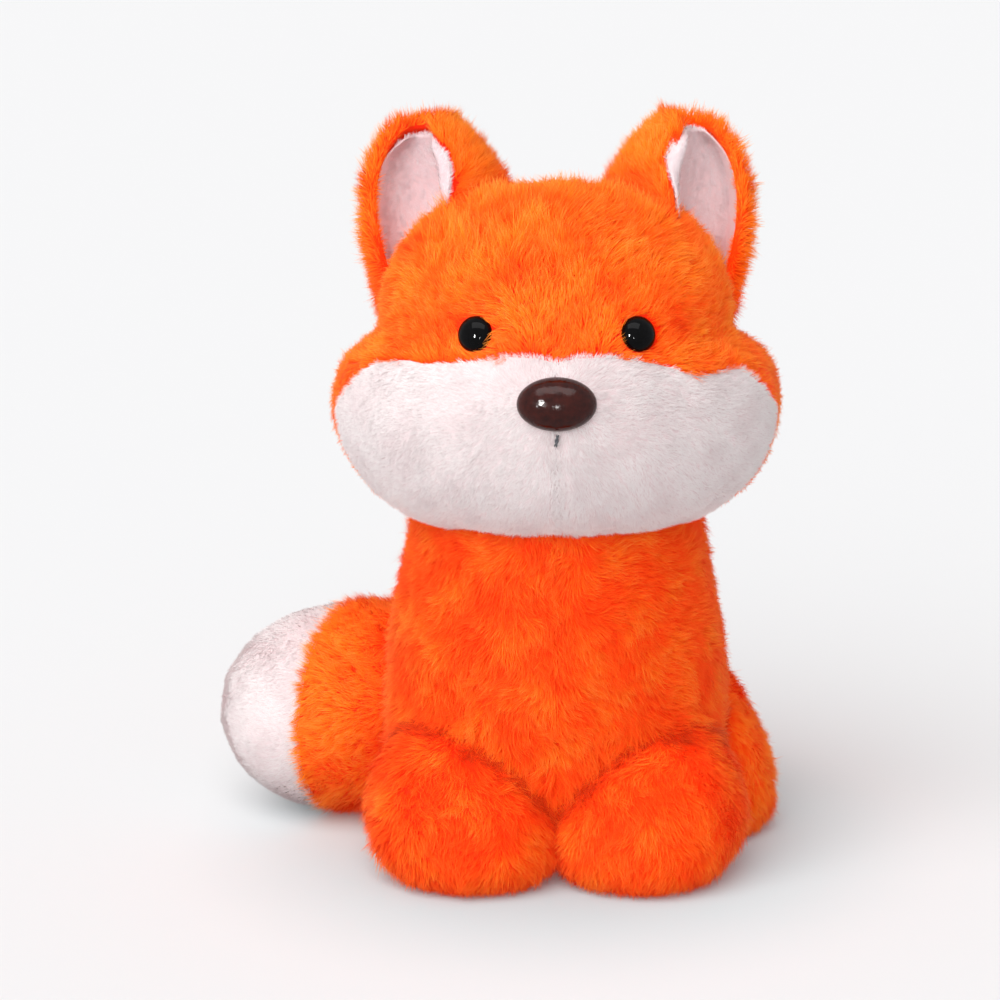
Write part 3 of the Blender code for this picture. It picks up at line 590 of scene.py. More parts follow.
def growPile(skin, pile, flow, keep=None, lengthAt=None, toneAt=None, faces=None, bare=()):
    rng = np.random.default_rng(pile["seed"])
    roots, normals, area = sampleSkin(skin, rng, pile["perSquareMm"], faces)
    if keep is not None:
        kept = keep(roots, normals)
        roots, normals = roots[kept], normals[kept]
    count = len(roots)
    tufts = max(4, int(area / pile["tuft"] ** 2))
    seeds = rng.choice(count, min(tufts, count), replace=False)
    tuftOf = nearestOf(roots, roots[seeds])
    own = seeds[tuftOf]
    # Painted shade per tuft, in creases and beside the eyes.
    paintedTuftShade = np.zeros(len(seeds)) if toneAt is None else toneAt(roots[seeds])

    lay = flow(roots, normals)
    lay = unit(lay - normals * (lay * normals).sum(1, keepdims=True))
    turn = pile["swirl"] * softNoise(roots, rng, pile["swirlSize"])
    turn += (pile["tuftTurn"] * rng.normal(size=len(seeds)))[tuftOf]
    turn += pile["strandTurn"] * rng.normal(size=count)
    turn = np.radians(turn)[:, None]
    lay = lay * np.cos(turn) + np.cross(normals, lay) * np.sin(turn)

    length = pile["length"] * (1 + pile["uneven"] * rng.normal(size=count))
    length *= (1 + pile["tuftUneven"] * rng.normal(size=len(seeds)))[tuftOf]
    if lengthAt is not None:
        length *= lengthAt(roots, normals)
    length = np.clip(length, 0.3 * mm, None)[:, None]
    rise = (pile["riseSpread"] * rng.normal(size=len(seeds)))[tuftOf]
    rise += pile["lift"] + pile["riseSpread"] * rng.normal(size=count)

    steps = pile["steps"]
    path = [roots - normals * pile["sunk"]]
    for k, angle in enumerate(pile["rise"]):
        lift = np.radians(np.clip(angle + rise, 2, 88))[:, None]
        way = lay * np.cos(lift) + normals * np.sin(lift)
        path.append(path[-1] + way * length * (steps[k + 1] - steps[k]))
    pull = [pile["gather"] * s ** 1.5 for s in steps]
    for k in range(1, len(path)):
        toward = path[k][own] - path[k]
        path[k] = path[k] + toward * pull[k]
    for middle, radii, turnTo in bare:  # strands that would cover an eye or the nose are left out
        local = [((p - middle) @ turnTo) / radii for p in path]
        covers = [(l[:, :2] ** 2).sum(1) < 1 for l in local]
        kept = ~np.logical_or.reduce(covers)
        path = [p[kept] for p in path]
        normals, tuftOf, count = normals[kept], tuftOf[kept], kept.sum()
    for p in path:
        p[:, 2] = np.maximum(p[:, 2], 0.3 * mm)

    roll = np.radians(pile["roll"] * rng.normal(size=count))[:, None]
    last = len(path) - 1
    sides, facing = [], []
    for k in range(last):
        way = unit(path[k + 1] - path[k])
        flat = unit(np.cross(way, normals))
        side = flat * np.cos(roll) + np.cross(way, flat) * np.sin(roll)
        face = np.cross(side, way)
        face *= np.sign((face * normals).sum(1, keepdims=True) + 1e-9)
        sides.append(side)
        facing.append(unit(normals * (1 - pile["ownShade"]) + face * pile["ownShade"]))
    taper = pile["taper"]
    verts, shade = [], []
    for k in range(last):
        half = sides[k] * pile["width"] / 2 * taper[k]
        verts += [path[k] - half, path[k] + half]
        shade += [facing[k], facing[k]]
    verts.append(path[last])
    shade.append(facing[-1])
    verts = np.stack(verts, 1).reshape(-1, 3)
    shade = np.stack(shade, 1).reshape(-1, 3)

    per = 2 * last + 1
    base = (np.arange(count) * per)[:, None]
    quads = [np.array([2 * k, 2 * k + 1, 2 * k + 3, 2 * k + 2]) for k in range(last - 1)]
    tipFace = np.array([2 * last - 2, 2 * last - 1, 2 * last])
    pattern = np.concatenate([*quads, tipFace])
    corners = (base + pattern).reshape(-1)
    sizes = np.tile(np.array([4] * (last - 1) + [3]), count)
    patch = softNoise(path[0], np.random.default_rng(7), pile["toneSize"])
    tone = pile["patchTone"] * (0.5 + 0.3 * patch)
    tone += pile["tuftTone"] * rng.random(len(seeds))[tuftOf]
    tone += (1 - pile["patchTone"] - pile["tuftTone"]) * rng.random(count)
    # Painted light and shade: each piece's tone is shifted lighter or darker by how the light falls
    # on it.
    tone = np.clip(tone + pile["paintedLightShift"], 0.2, 0.98)
    # The painted crease and socket shade is added last and may go below the tone floor.
    tone = np.clip(tone + paintedTuftShade[tuftOf], 0.02, 0.98)
    level = np.repeat(np.array(steps[:last]), 2)
    level = 0.08 + 0.92 * pile["reach"] * np.append(level, 1.0)
    off = np.append(np.tile([-0.004, 0.004], last), 0.0)
    u = (tone[:, None] + off)[:, pattern].reshape(-1)
    v = np.broadcast_to(level, (count, per))[:, pattern].reshape(-1)
    return {"verts": verts, "normals": shade, "corners": corners, "sizes": sizes,
            "uv": np.stack([u, v], 1)}


def wearPile(skin, strands, material):  # one mesh of the skin's cloth and all its strands
    mesh = skin.data
    skinCo, skinNormals = vertexArray(skin), vertexArray(skin, "normal")
    loops = np.empty(len(mesh.loops), np.int32)
    mesh.loops.foreach_get("vertex_index", loops)
    sizes = np.empty(len(mesh.polygons), np.int32)
    mesh.polygons.foreach_get("loop_total", sizes)
    patch = skinCo[loops]
    # The cloth takes the deep root end of the colours, partly painted shade under the pile.
    spread = np.stack([0.5 + 0.4 * np.sin(patch[:, 0] * 40 + patch[:, 2] * 25),
                       0.025 + 0.02 * np.sin(patch[:, 1] * 45 + patch[:, 2] * 33)], 1)
    co, normal, corner, count, uv = [skinCo], [skinNormals], [loops], [sizes], [spread]
    start = len(skinCo)
    for s in strands:
        co.append(s["verts"])
        normal.append(s["normals"])
        corner.append(s["corners"] + start)
        count.append(s["sizes"])
        uv.append(s["uv"])
        start += len(s["verts"])
    co, normal, corner, count, uv = map(np.concatenate, (co, normal, corner, count, uv))
    made = bpy.data.meshes.new(skin.name)
    made.vertices.add(len(co))
    made.vertices.foreach_set("co", co.astype(np.float32).ravel())
    made.loops.add(len(corner))
    made.loops.foreach_set("vertex_index", corner.astype(np.int32))
    made.polygons.add(len(count))
    starts = np.concatenate([[0], np.cumsum(count)[:-1]])
    made.polygons.foreach_set("loop_start", starts.astype(np.int32))
    layer = made.uv_layers.new(name="OFBake")
    layer.uv.foreach_set("vector", uv.astype(np.float32).ravel())
    made.update()
    made.polygons.foreach_set("use_smooth", np.ones(len(count), bool))
    made.normals_split_custom_set_from_vertices(normal.astype(np.float32))
    made.materials.append(material)
    old = skin.data
    skin.data = made
    bpy.data.meshes.remove(old)
    return skin


def backSkin(skin, thickness=0.0010):  # the knitted backing that the pile is rooted in
    return applyModifier(skin, "SOLIDIFY", thickness=thickness, offset=-1)


def coverSkin(skin, seed, flow, material, piles, backed=True, **where):
    changes = where.pop("changes", {})
    grown = [growPile(skin, {**pile, **changes, "seed": seed + 100 * k}, flow, **where)
             for k, pile in enumerate(piles)]
    return wearPile(backSkin(skin) if backed else skin, grown, material)


def finishPiece(piece, body, slotName, *stoodFor, fill=None):
    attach(piece, body)
    if stoodFor:
        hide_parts(*stoodFor)
    return piece


# Plush materials: the colour runs from the root of each strand to its tip, deeper at the root partly
# as painted shade down in the pile.

def plushMaterial(name, stops, tones, roughness, sheen, sheenColour, paintedGlow, glowColour):
    material, tree, shader = newMaterial(
        name, Roughness=roughness, **{"Sheen Weight": sheen, "Sheen Roughness": 0.5,
                                      "Specular IOR Level": 0.08})
    shader.inputs["Sheen Tint"].default_value = hexColour(sheenColour)
    shader.inputs["Emission Color"].default_value = hexColour(glowColour)
    # The emission is painted light: a glow that lifts the pile where it lies in shade.
    shader.inputs["Emission Strength"].default_value = paintedGlow
    uv = addNode(tree, "ShaderNodeUVMap", {"uv_map": "OFBake"})
    apart = addNode(tree, "ShaderNodeSeparateXYZ", links={"Vector": uv.outputs["UV"]})
    ramp = addNode(tree, "ShaderNodeValToRGB", links={"Fac": apart.outputs["Y"]})
    fillRamp(ramp, stops)
    tone = addNode(tree, "ShaderNodeValToRGB", links={"Fac": apart.outputs["X"]})
    fillRamp(tone, tones)
    mix = addNode(tree, "ShaderNodeMix", {"data_type": "RGBA", "blend_type": "MULTIPLY"})
    mix.inputs[0].default_value = 1.0
    tree.links.new(ramp.outputs["Color"], mix.inputs[6])
    tree.links.new(tone.outputs["Color"], mix.inputs[7])
    tree.links.new(mix.outputs[2], shader.inputs["Base Color"])
    return material


def fillRamp(ramp, stops):
    elements = ramp.color_ramp.elements
    while len(elements) < len(stops):
        elements.new(0.5)
    for element, (place, colour) in zip(elements, stops):
        element.position = place
        element.color = hexColour(colour)


# Knitted acrylic pile, combed: red and deep at the root, partly painted shade down in the pile, and
# lighter towards the tips, partly painted light where the tips catch it.
# A painted orange-red glow keeps even the shaded pile a clear orange: painted light, since the pile
# is no lamp.
orangePile = plushMaterial(
    "orange_acrylic_pile",
    ((0.0, "#FC4600"), (0.3, "#FF6808"), (0.65, "#FF8C1C"), (1.0, "#FFB450")),
    # Tones: the deep end below 0.2 is reached only by painted crease and socket shade.
    ((0.0, "#C85C48"), (0.18, "#FF8A66"), (1.0, "#FFFFFF")),
    0.85, 0.3, "#FFB878", 0.1, "#FF3C00")
# Short cropped white pile: dense, so that it reads as velvet; a faint painted glow lifts it in
# shade.
whitePile = plushMaterial(
    "white_cropped_pile",
    ((0.0, "#E6D4D5"), (0.4, "#F0E5E5"), (1.0, "#F6EFEE")),
    ((0.0, "#F2EAEB"), (0.6, "#FFFFFF"), (1.0, "#FFFFFF")),
    0.9, 0.12, "#FFFFFF", 0.03, "#FFFFFF")
# The ears' lining is a finer pile; its pink cast is painted light, the orange around it thrown back
# onto it.
liningPile = plushMaterial(
    "minky_pile_painted_bounce",
    ((0.0, "#F0DEE0"), (0.4, "#F8ECEE"), (1.0, "#FCF4F5")),
    ((0.0, "#F0E6E8"), (0.6, "#FFFFFF"), (1.0, "#FFFFFF")),
    0.9, 0.2, "#FFFFFF", 0.0, "#FFFFFF")

# Real pile is about 0.05 mm thick; it is drawn four times as thick, so that it shows.
longPile = {
    "perSquareMm": 3.4, "tuft": 2.6 * mm, "swirl": 26, "swirlSize": 0.022, "tuftTurn": 18,
    "strandTurn": 14, "length": 5.6 * mm, "uneven": 0.16, "tuftUneven": 0.1,
    "rise": (52, 24), "lift": 0, "riseSpread": 7, "steps": (0, 0.45, 1), "sunk": 0.8 * mm,
    "gather": 0.2, "roll": 20, "ownShade": 0.1, "width": 0.2 * mm, "taper": (1, 0.85),
    # paintedLightShift: painted light and shade, each piece's pile lighter or darker by how the
    # light falls on it.
    "reach": 1.0, "patchTone": 0.42, "tuftTone": 0.16, "toneSize": 0.013, "paintedLightShift": 0.0,
}
# Shorter strands that fill in between the long ones.
underPile = {
    **longPile, "perSquareMm": 4.6, "length": 4.0 * mm, "rise": (38,), "steps": (0, 1),
    "taper": (1,), "width": 0.28 * mm, "gather": 0.12, "reach": 0.8,
}
croppedPile = {
    **longPile, "perSquareMm": 9.0, "tuft": 1.6 * mm, "swirl": 14, "swirlSize": 0.02,
    "tuftTurn": 12, "strandTurn": 18, "length": 2.6 * mm, "uneven": 0.1, "tuftUneven": 0.04,
    "rise": (30,), "riseSpread": 5, "steps": (0, 1), "sunk": 0.4 * mm, "gather": 0.15,
    "roll": 20, "ownShade": 0.08, "width": 0.26 * mm, "taper": (1,),
}
plush = (longPile, underPile)
velvet = (croppedPile,)


def alongFlow(vector):
    fixed = np.array(vector, float)
    return lambda p, n: np.broadcast_to(fixed, p.shape).copy()


def awayFrom(point, extra=(0, 0, 0)):
    point, extra = np.array(point, float), np.array(extra, float)
    return lambda p, n: unit(p - point) + extra


def overSeam(flow, reach):  # near the middle seam the pile is brushed across it
    def across(p, n):
        lean = np.exp(-np.abs(p[:, 0]) / reach) * np.sign(p[:, 0])
        return unit(flow(p, n)) - lean[:, None] * np.array((0.9, 0, 0))

    return across


def paintedCreaseShade(trees, reach, amount):  # painted crease shade: the pile is painted deeper and redder near another form, where shade falls
    def shade(p):
        total = np.zeros(len(p))
        for tree in trees:
            gaps = np.array([tree.find_nearest(Vector(q))[3] for q in p])
            total -= amount * np.exp(-(gaps / reach) ** 2)
        return total

    return shade


# Head.

faceSet = {
    "seamPoint": (0.0, -0.0605, 0.1635),
    "seamNormal": (0.0, math.sin(math.radians(12)), math.cos(math.radians(12))),
    "cheekY": -0.02,
    "eye": {"x": 0.0234, "y": -0.0486, "z": 0.1695, "radius": 0.00525, "dome": 0.0036},
    "eyeFacing": (0.422, -0.846, 0.326),
    "nose": {"y": -0.057, "z": 0.1505, "halfWidth": 0.0115, "halfHeight": 0.0078,
             "depth": 0.0065},
    "noseFacing": (0.0, -0.983, 0.185),
    "mouth": {"y": -0.0581, "z": 0.141, "halfWidth": 0.0007, "halfHeight": 0.002},
    "cornerPoint": (0.058, -0.037, 0.1575),  # the cheek's upper corner is cut off slantwise
    "cornerNormal": (0.301, 0.523, 0.797),
    "seamWave": (  # how far the seam under the eyes strays from straight, along X, in mm
        (-70, 3), (-56, 2.9), (-44, 2), (-38, 0), (-24, 0), (-17, 0.9), (-13, 1.7), (-5, 0.9),
        (0, -0.3), (5, 0.9), (14, 1.4), (21, 0.9), (30, -0.6), (37, -3.4), (43, -3.4),
        (51, -0.6), (60, 1), (70, 1),
    ),
    "waveReach": 0.008,
}


def faceFrame(point, facing):
    spin = Vector(facing).to_track_quat("Z", "Y").to_matrix().to_4x4()
    return Matrix.Translation(point) @ spin


def eyeFrame(sign):
    eye = faceSet["eye"]
    facing = faceSet["eyeFacing"]
    return faceFrame((sign * eye["x"], eye["y"], eye["z"]), (sign * facing[0], *facing[1:]))


def noseFrame():
    nose = faceSet["nose"]
    return faceFrame((0, nose["y"], nose["z"]), faceSet["noseFacing"])


def bareSpot(matrix, radii):  # an oval on the face that no strand may cross
    return (np.array(matrix.translation), np.array([*radii, 1.0]),
            np.array(matrix.to_3x3()))


mouth = faceSet["mouth"]
mouthFrame = faceFrame((0, mouth["y"], mouth["z"]), (0, -1, -0.02))
eyeRadius = faceSet["eye"]["radius"]
noseRadii = (faceSet["nose"]["halfWidth"] * 0.93, faceSet["nose"]["halfHeight"] * 0.88)
eyeSpots = []  # a little outwards, so that the pile lies over each eye's inner edge
for sign in (-1, 1):
    outwards = Matrix.Translation((sign * eyeRadius * 0.05, 0, 0))
    eyeSpots.append(bareSpot(outwards @ eyeFrame(sign), (eyeRadius * 0.96, eyeRadius * 0.98)))
bareSpots = [*eyeSpots, bareSpot(noseFrame(), noseRadii),
             bareSpot(mouthFrame, (mouth["halfWidth"], mouth["halfHeight"]))]

seamPoint, seamNormal = Vector(faceSet["seamPoint"]), Vector(faceSet["seamNormal"])
cheekPoint = Vector((0, faceSet["cheekY"], 0))
back, right = Vector((0, 1, 0)), Vector((1, 0, 0))
noseSpot = (0.0, -0.062, 0.1505)
headFormTree = treeOf(headForm)


def waveSeam(obj):  # the real seam wanders a little, so its edge moves along the head
    co = vertexArray(obj)
    gap = np.abs((co - np.array(seamPoint)) @ np.array(seamNormal))
    near = np.clip(1 - gap / faceSet["waveReach"], 0, 1) * (co[:, 1] < -0.01)
    along, rise = np.array(faceSet["seamWave"]).T * mm
    co[:, 2] += np.interp(co[:, 0], along, rise) * near ** 0.7
    for i in np.flatnonzero(near):
        co[i] = headFormTree.find_nearest(Vector(co[i]))[0]
    return moveTo(obj, co)


def cornerPlane(sign):
    point, normal = faceSet["cornerPoint"], faceSet["cornerNormal"]
    return (Vector((sign * point[0], *point[1:])),
            Vector((sign * normal[0], *normal[1:])).normalized())


def paintedSocketShade(p):  # painted shade: the pile beside each eye is painted redder and deeper, where shade falls
    shade = np.zeros(len(p))
    for sign in (-1, 1):
        beside = np.array((sign * 0.031, -0.045, 0.171))
        shade -= 0.25 * np.exp(-((p - beside) ** 2).sum(1) / 0.0075 ** 2)
    return shade


def crownLength(p, n):  # the pile is left longer towards the top of the head
    return 0.9 + 0.6 * np.clip((p[:, 2] - 0.18) / 0.02, 0, 1)


def cheekLength(p, n):  # the pile at the back of the cheeks is clipped short beside the white
    behind = np.clip((p[:, 1] - faceSet["cheekY"]) / 0.022, 0, 1)
    low = np.clip((0.152 - p[:, 2]) / 0.012, 0, 1)
    return 0.5 - 0.12 * low + (0.5 + 0.12 * low) * behind


crown = copyOf(headForm, "head_crown_plush")
cutAway(crown, seamPoint, -seamNormal)
cutAway(crown, cheekPoint, back)
waveSeam(crown)
# The crown's pile is painted lighter, as it faces the light.
coverSkin(crown, 11, awayFrom(noseSpot, (0, 0.3, 0)), orangePile, plush, bare=bareSpots,
          # Painted shade beside each eye.
          toneAt=paintedSocketShade, lengthAt=crownLength, changes={"paintedLightShift": 0.18})
finishPiece(crown, "head", "orange_plush", "head_crown", fill=0.9)

rear = copyOf(headForm, "head_back_plush")
rearPiles = []  # a large piece, so its pile is drawn a little coarser
cutAway(rear, cheekPoint, -back)
wedges = []
for sign in (-1, 1):
    wedge = copyOf(headForm, "cheek_corner")
    cutAway(wedge, seamPoint, seamNormal)
    cutAway(wedge, cheekPoint, back)
    cutAway(wedge, Vector((0, 0, 0)), right * -sign)
    point, normal = cornerPlane(sign)
    cutAway(wedge, point, -normal)
    wedges.append(waveSeam(wedge))
only(rear)
for wedge in wedges:
    wedge.select_set(True)
bpy.ops.object.join()
trimInside(rear, torsoTree, 0.008)
for pile, share in zip(plush, (0.48, 0.42)):
    rearPiles.append({**pile, "perSquareMm": pile["perSquareMm"] * share,
                      "width": pile["width"] * 1.3})
# The back of the head is painted a little lighter, as the light falls on it.
coverSkin(rear, 12, alongFlow((0, 0.9, -0.5)), orangePile, rearPiles, lengthAt=cheekLength,
          changes={"paintedLightShift": 0.12})
finishPiece(rear, "head", "orange_plush", "head_back", fill=0.9)

for side, sign in (("left", -1), ("right", 1)):
    muzzle = copyOf(headForm, f"muzzle_{side}_plush")
    cutAway(muzzle, seamPoint, seamNormal)
    cutAway(muzzle, cheekPoint, back)
    cutAway(muzzle, Vector((0, 0, 0)), right * -sign)
    cutAway(muzzle, *cornerPlane(sign))
    waveSeam(muzzle)
    trimInside(muzzle, torsoTree, 0.003)
    flow = overSeam(awayFrom((0, -0.045, 0.143), (0, 0, -0.2)), 0.001)
    coverSkin(muzzle, 13 + sign, flow, whitePile, velvet, bare=bareSpots)
    finishPiece(muzzle, "head", "white_plush", f"muzzle_{side}", fill=0.9)
print("head covered")


# Ears.

def earFlow(sign):  # outwards from the middle of the opening, over the rim and away
    facing = math.radians(216)
    middle = Vector((-math.sin(facing) * sign, math.cos(facing), 0)) * earSet["radius"]
    middle = earFrame(sign) @ (middle + up * 0.004)
    return awayFrom(middle, (0, 0, 0.6))


for side, sign in (("left", -1), ("right", 1)):
    flap = makeEarForm(f"ear_{side}_plush", sign)
    innerTree = treeOf(flap)
    lining = makeEarForm(f"ear_{side}_lining_plush", sign, lining=True)
    liningTree = treeOf(lining)
    applyModifier(flap, "SOLIDIFY", thickness=earSet["wall"], offset=1)
    trimInside(flap, headTree, 0.0025)

    def offLining(p, n):  # pile grows outside and on the hem, not under the lining
        kept = np.empty(len(p), bool)
        for i, q in enumerate(p):
            near, _, _, gap = liningTree.find_nearest(Vector(q))
            heads = (near - Vector(q)).dot(Vector(n[i])) > 0.35 * gap
            kept[i] = gap > 1.3 * mm and not (heads and gap < 3.5 * mm)
        return kept

    def hemLength(p, n):  # and it is short on the hem, where the needle went
        gaps = np.array([innerTree.find_nearest(Vector(q))[3] for q in p])
        return np.clip(0.35 + gaps / (2.4 * mm), 0.35, 1)

    # The ears are painted much lighter, as they catch the light.
    coverSkin(flap, 21 + sign, earFlow(sign), orangePile, plush, backed=False, keep=offLining,
              # Painted crease shade where the ear meets the head.
              lengthAt=hemLength, toneAt=paintedCreaseShade([headTree], 0.006, 0.5),
              changes={"paintedLightShift": 0.45, "lift": 8, "length": 5.4 * mm})
    finishPiece(flap, f"ear_{side}", "orange_plush", f"ear_{side}_shell", fill=0.3)
    applyModifier(lining, "SOLIDIFY", thickness=earSet["liningWall"], offset=-1)
    trimInside(lining, headTree, 0.0025)
    centres = np.array([p.center for p in lining.data.polygons])
    inside = np.array([innerTree.find_nearest(Vector(c))[3] > 0.8 * mm for c in centres])
    coverSkin(lining, 31 + sign, earFlow(sign), liningPile, velvet, backed=False, faces=inside,
              changes={"length": 1.9 * mm, "patchTone": 0.6})
    finishPiece(lining, f"ear_{side}", "white_plush", f"ear_{side}_lining", fill=0.2)
print("ears covered")


# Torso and legs.

gownSet = {
    "waist": 0.03, "neck": 0.11,  # heights between which the combing opens out
    "left": (18, 40), "right": (24, 78), "back": (14, 24),  # degrees from straight down
    "parting": 0.016,
}


def gownFlow(p, n):  # the body's pile hangs down from a parting and lies out to the sides
    s = gownSet
    high = np.clip((p[:, 2] - s["waist"]) / (s["neck"] - s["waist"]), 0, 1)
    left, right, behind = (a + (b - a) * high for a, b in (s["left"], s["right"], s["back"]))
    lean = np.where(p[:, 1] > 0.006, behind, np.where(p[:, 0] > 0, right, left))
    lean = np.radians(lean * np.clip(np.abs(p[:, 0]) / s["parting"], 0, 1))
    around = unit(np.stack([-n[:, 1], n[:, 0], np.zeros(len(p))], 1))
    sideways = around * np.sign(around[:, 0] * p[:, 0] + 1e-12)[:, None]
    return sideways * np.sin(lean)[:, None] - np.array((0, 0, 1.0)) * np.cos(lean)[:, None]


def overhang(tree):  # the chest's pile is longer where it hangs over the legs
    def longer(p, n):
        gaps = np.array([tree.find_nearest(Vector(q))[3] for q in p])
        return 1 + 0.35 * np.exp(-(gaps / 0.008) ** 2)

    return longer


def thinUnder(tree, deeper=0.003):  # half the pile where another piece covers it at rest
    def keep(p, n):
        return (depthIn(tree, p) < deeper) | (np.arange(len(p)) % 2 == 0)

    return keep


baseLine = Vector((0, 0, 0.007))
for region, cutNormal in (("chest", back), ("back", -back)):
    for side, sign in (("left", -1), ("right", 1)):
        panel = copyOf(torsoForm, f"{region}_{side}_plush")
        cutAway(panel, Vector((0, 0.006, 0)), cutNormal)
        cutAway(panel, Vector((0, 0, 0)), right * -sign)
        cutAway(panel, baseLine, -up)
        trimInside(panel, headTree, 0.012)
        trimInside(panel, frontTrees[side], 0.003)
        trimInside(panel, hindTrees[side], 0.003)
        seed = 41 + sign + (4 if region == "back" else 0)
        # Painted crease shade near the hind legs and the tail.
        paintedCreases = paintedCreaseShade([hindTrees[side], tailTree], 0.005, 0.35)
        # The chest and back pile is painted darker, as it takes less light.
        coverSkin(panel, seed, gownFlow, orangePile, plush, toneAt=paintedCreases,
                  keep=thinUnder(tailTree),
                  lengthAt=overhang(frontTrees[side]), changes={"paintedLightShift": -0.14, "lift": -4})
        finishPiece(panel, "torso", "orange_plush", f"{region}_panel_{side}", fill=0.8)

base = copyOf(torsoForm, "base_plush")
cutAway(base, baseLine, up)
coverSkin(base, 51, awayFrom((0, 0.004, 0.03)), orangePile, velvet,
          changes={"perSquareMm": 3.0, "length": 1.8 * mm})
finishPiece(base, "torso", "orange_plush", "base_panel", fill=0.2)


def pawFlow(x, y, top):
    axis = np.array((x, y, top))

    def flow(p, n):
        away = p - axis
        away[:, 2] *= 0.9
        return unit(away) + np.array((0, 0, -0.35))

    return flow


for side, sign in (("left", -1), ("right", 1)):
    front = copyOf(frontForms[side], f"front_leg_{side}_plush")
    cutAway(front, Vector((0, 0, 0)), right * -sign)
    trimInside(front, torsoTree, 0.004)
    # The front legs are painted darker, as they take less light.
    coverSkin(front, 61 + sign, pawFlow(sign * 0.027, -0.018, 0.062), orangePile, plush,
              # Painted crease shade against the torso.
              toneAt=paintedCreaseShade([torsoTree], 0.004, 0.45),
              changes={"paintedLightShift": -0.16, "lift": -4})
    finishPiece(front, "torso", "orange_plush", f"front_leg_{side}_skin", fill=0.85)
    hind = copyOf(hindForms[side], f"hind_leg_{side}_plush")
    trimInside(hind, torsoTree, 0.004)
    trimInside(hind, frontTrees[side], 0.004)
    # The hind legs are painted lighter, as they catch the light.
    coverSkin(hind, 65 + sign, pawFlow(sign * 0.036, 0.02, 0.07), orangePile, plush,
              keep=thinUnder(tailTree),
              # Painted crease shade against the torso and the front leg.
              toneAt=paintedCreaseShade([torsoTree, frontTrees[side]], 0.006, 0.35),
              changes={"length": 5.0 * mm, "paintedLightShift": 0.2, "lift": -6})
    finishPiece(hind, "torso", "orange_plush", f"hind_leg_{side}_skin", fill=0.85)
print("torso and legs covered")


# Tail.

tailSeam, _ = tailMiddle(tailSet["length"] - tailSet["tip"])
seamAim = math.radians(tailSet["seamAim"])
tipward = Vector((math.cos(seamAim), math.sin(seamAim), 0))


def tailFlow(p, n):
    root = np.array(tailSet["root"])
    along = np.clip(np.linalg.norm(p - root, axis=1), 0, None)
    turn = np.radians(tailSet["aim"] + tailSet["bend"] * along / tailSet["length"])
    return np.stack([np.cos(turn), np.sin(turn), np.zeros(len(p))], 1)


sleeve = copyOf(tailForm, "tail_sleeve_plush")
cutAway(sleeve, tailSeam, tipward)
trimInside(sleeve, torsoTree, 0.016)
# Painted crease shade where the tail meets the torso.
coverSkin(sleeve, 71, tailFlow, orangePile, plush, toneAt=paintedCreaseShade([torsoTree], 0.007, 0.4),
          keep=thinUnder(torsoTree),
          # The tail is painted lighter, as the light catches it.
          changes={"paintedLightShift": 0.44})
finishPiece(sleeve, "tail", "orange_plush", "tail_sleeve", fill=0.8)
tip = copyOf(tailForm, "tail_tip_plush")
cutAway(tip, tailSeam, -tipward)
coverSkin(tip, 72, tailFlow, whitePile, velvet, changes={"length": 2.2 * mm, "lift": 8})
finishPiece(tip, "tail", "white_plush", "tail_tip", fill=0.8)
print("tail covered")


# Eyes and nose.

def beadMaterial(name, colours, size, roughness, dent, **settings):  # cloudy colour and gloss
    material, tree, shader = newMaterial(name, **settings)
    where = addNode(tree, "ShaderNodeTexCoord")
    cloud = addNode(tree, "ShaderNodeTexNoise", {"Scale": 1 / size, "Detail": 3.0},
                    {"Vector": where.outputs["Object"]})
    shade = addNode(tree, "ShaderNodeValToRGB", links={"Fac": cloud.outputs["Fac"]})
    fillRamp(shade, colours)
    polish = addNode(tree, "ShaderNodeMapRange", {"To Min": roughness[0], "To Max": roughness[1]},
                     {"Value": cloud.outputs["Fac"]})
    bump = addNode(tree, "ShaderNodeBump", {"Strength": 1.0, "Distance": dent},
                   {"Height": cloud.outputs["Fac"]})
    tree.links.new(shade.outputs["Color"], shader.inputs["Base Color"])
    tree.links.new(polish.outputs["Result"], shader.inputs["Roughness"])
    tree.links.new(bump.outputs["Normal"], shader.inputs["Normal"])
    return material


# Injection-moulded acrylic dome with a polished face: near black, one clear highlight.
eyeGloss = beadMaterial(
    "polished_black_acrylic", ((0.3, "#030303"), (0.7, "#08080A")), 1.2 * mm, (0.05, 0.09),
    0.005 * mm, IOR=1.49, **{"Specular IOR Level": 0.08})
# Moulded brown ABS: dark chocolate, its skin slightly orange-peeled by the mould.
noseGloss = beadMaterial(
    "moulded_brown_abs", ((0.3, "#280A07"), (0.7, "#3C120C")), 2.2 * mm, (0.07, 0.18),
    0.14 * mm, IOR=1.53, **{"Specular IOR Level": 0.18})


def addDome(name, matrix, width, height, depth):
    bpy.ops.object.select_all(action="DESELECT")
    bpy.ops.mesh.primitive_uv_sphere_add(segments=48, ring_count=24, radius=1)
    dome = bpy.context.object
    dome.name = name
    everything = np.ones(len(dome.data.vertices), bool)
    stretch(dome, everything, (width, height, depth))
    below = vertexArray(dome)[:, 2] < -0.25 * depth
    stretch(dome, below, (1, 1, 0.3))
    setInPlace(dome, matrix)
    only(dome)
    bpy.ops.object.shade_smooth()
    return dome


for side, sign in (("left", -1), ("right", 1)):
    eye = addDome(f"eye_{side}_bead", eyeFrame(sign), eyeRadius, eyeRadius,
                  faceSet["eye"]["dome"])
    eye.data.materials.append(eyeGloss)
    finishPiece(eye, "head", "black_plastic", f"eye_{side}")
nose = addDome("nose_button", noseFrame(), faceSet["nose"]["halfWidth"],
               faceSet["nose"]["halfHeight"], faceSet["nose"]["depth"])
nose.data.materials.append(noseGloss)
finishPiece(nose, "head", "brown_plastic", "nose")
print("eyes and nose set")


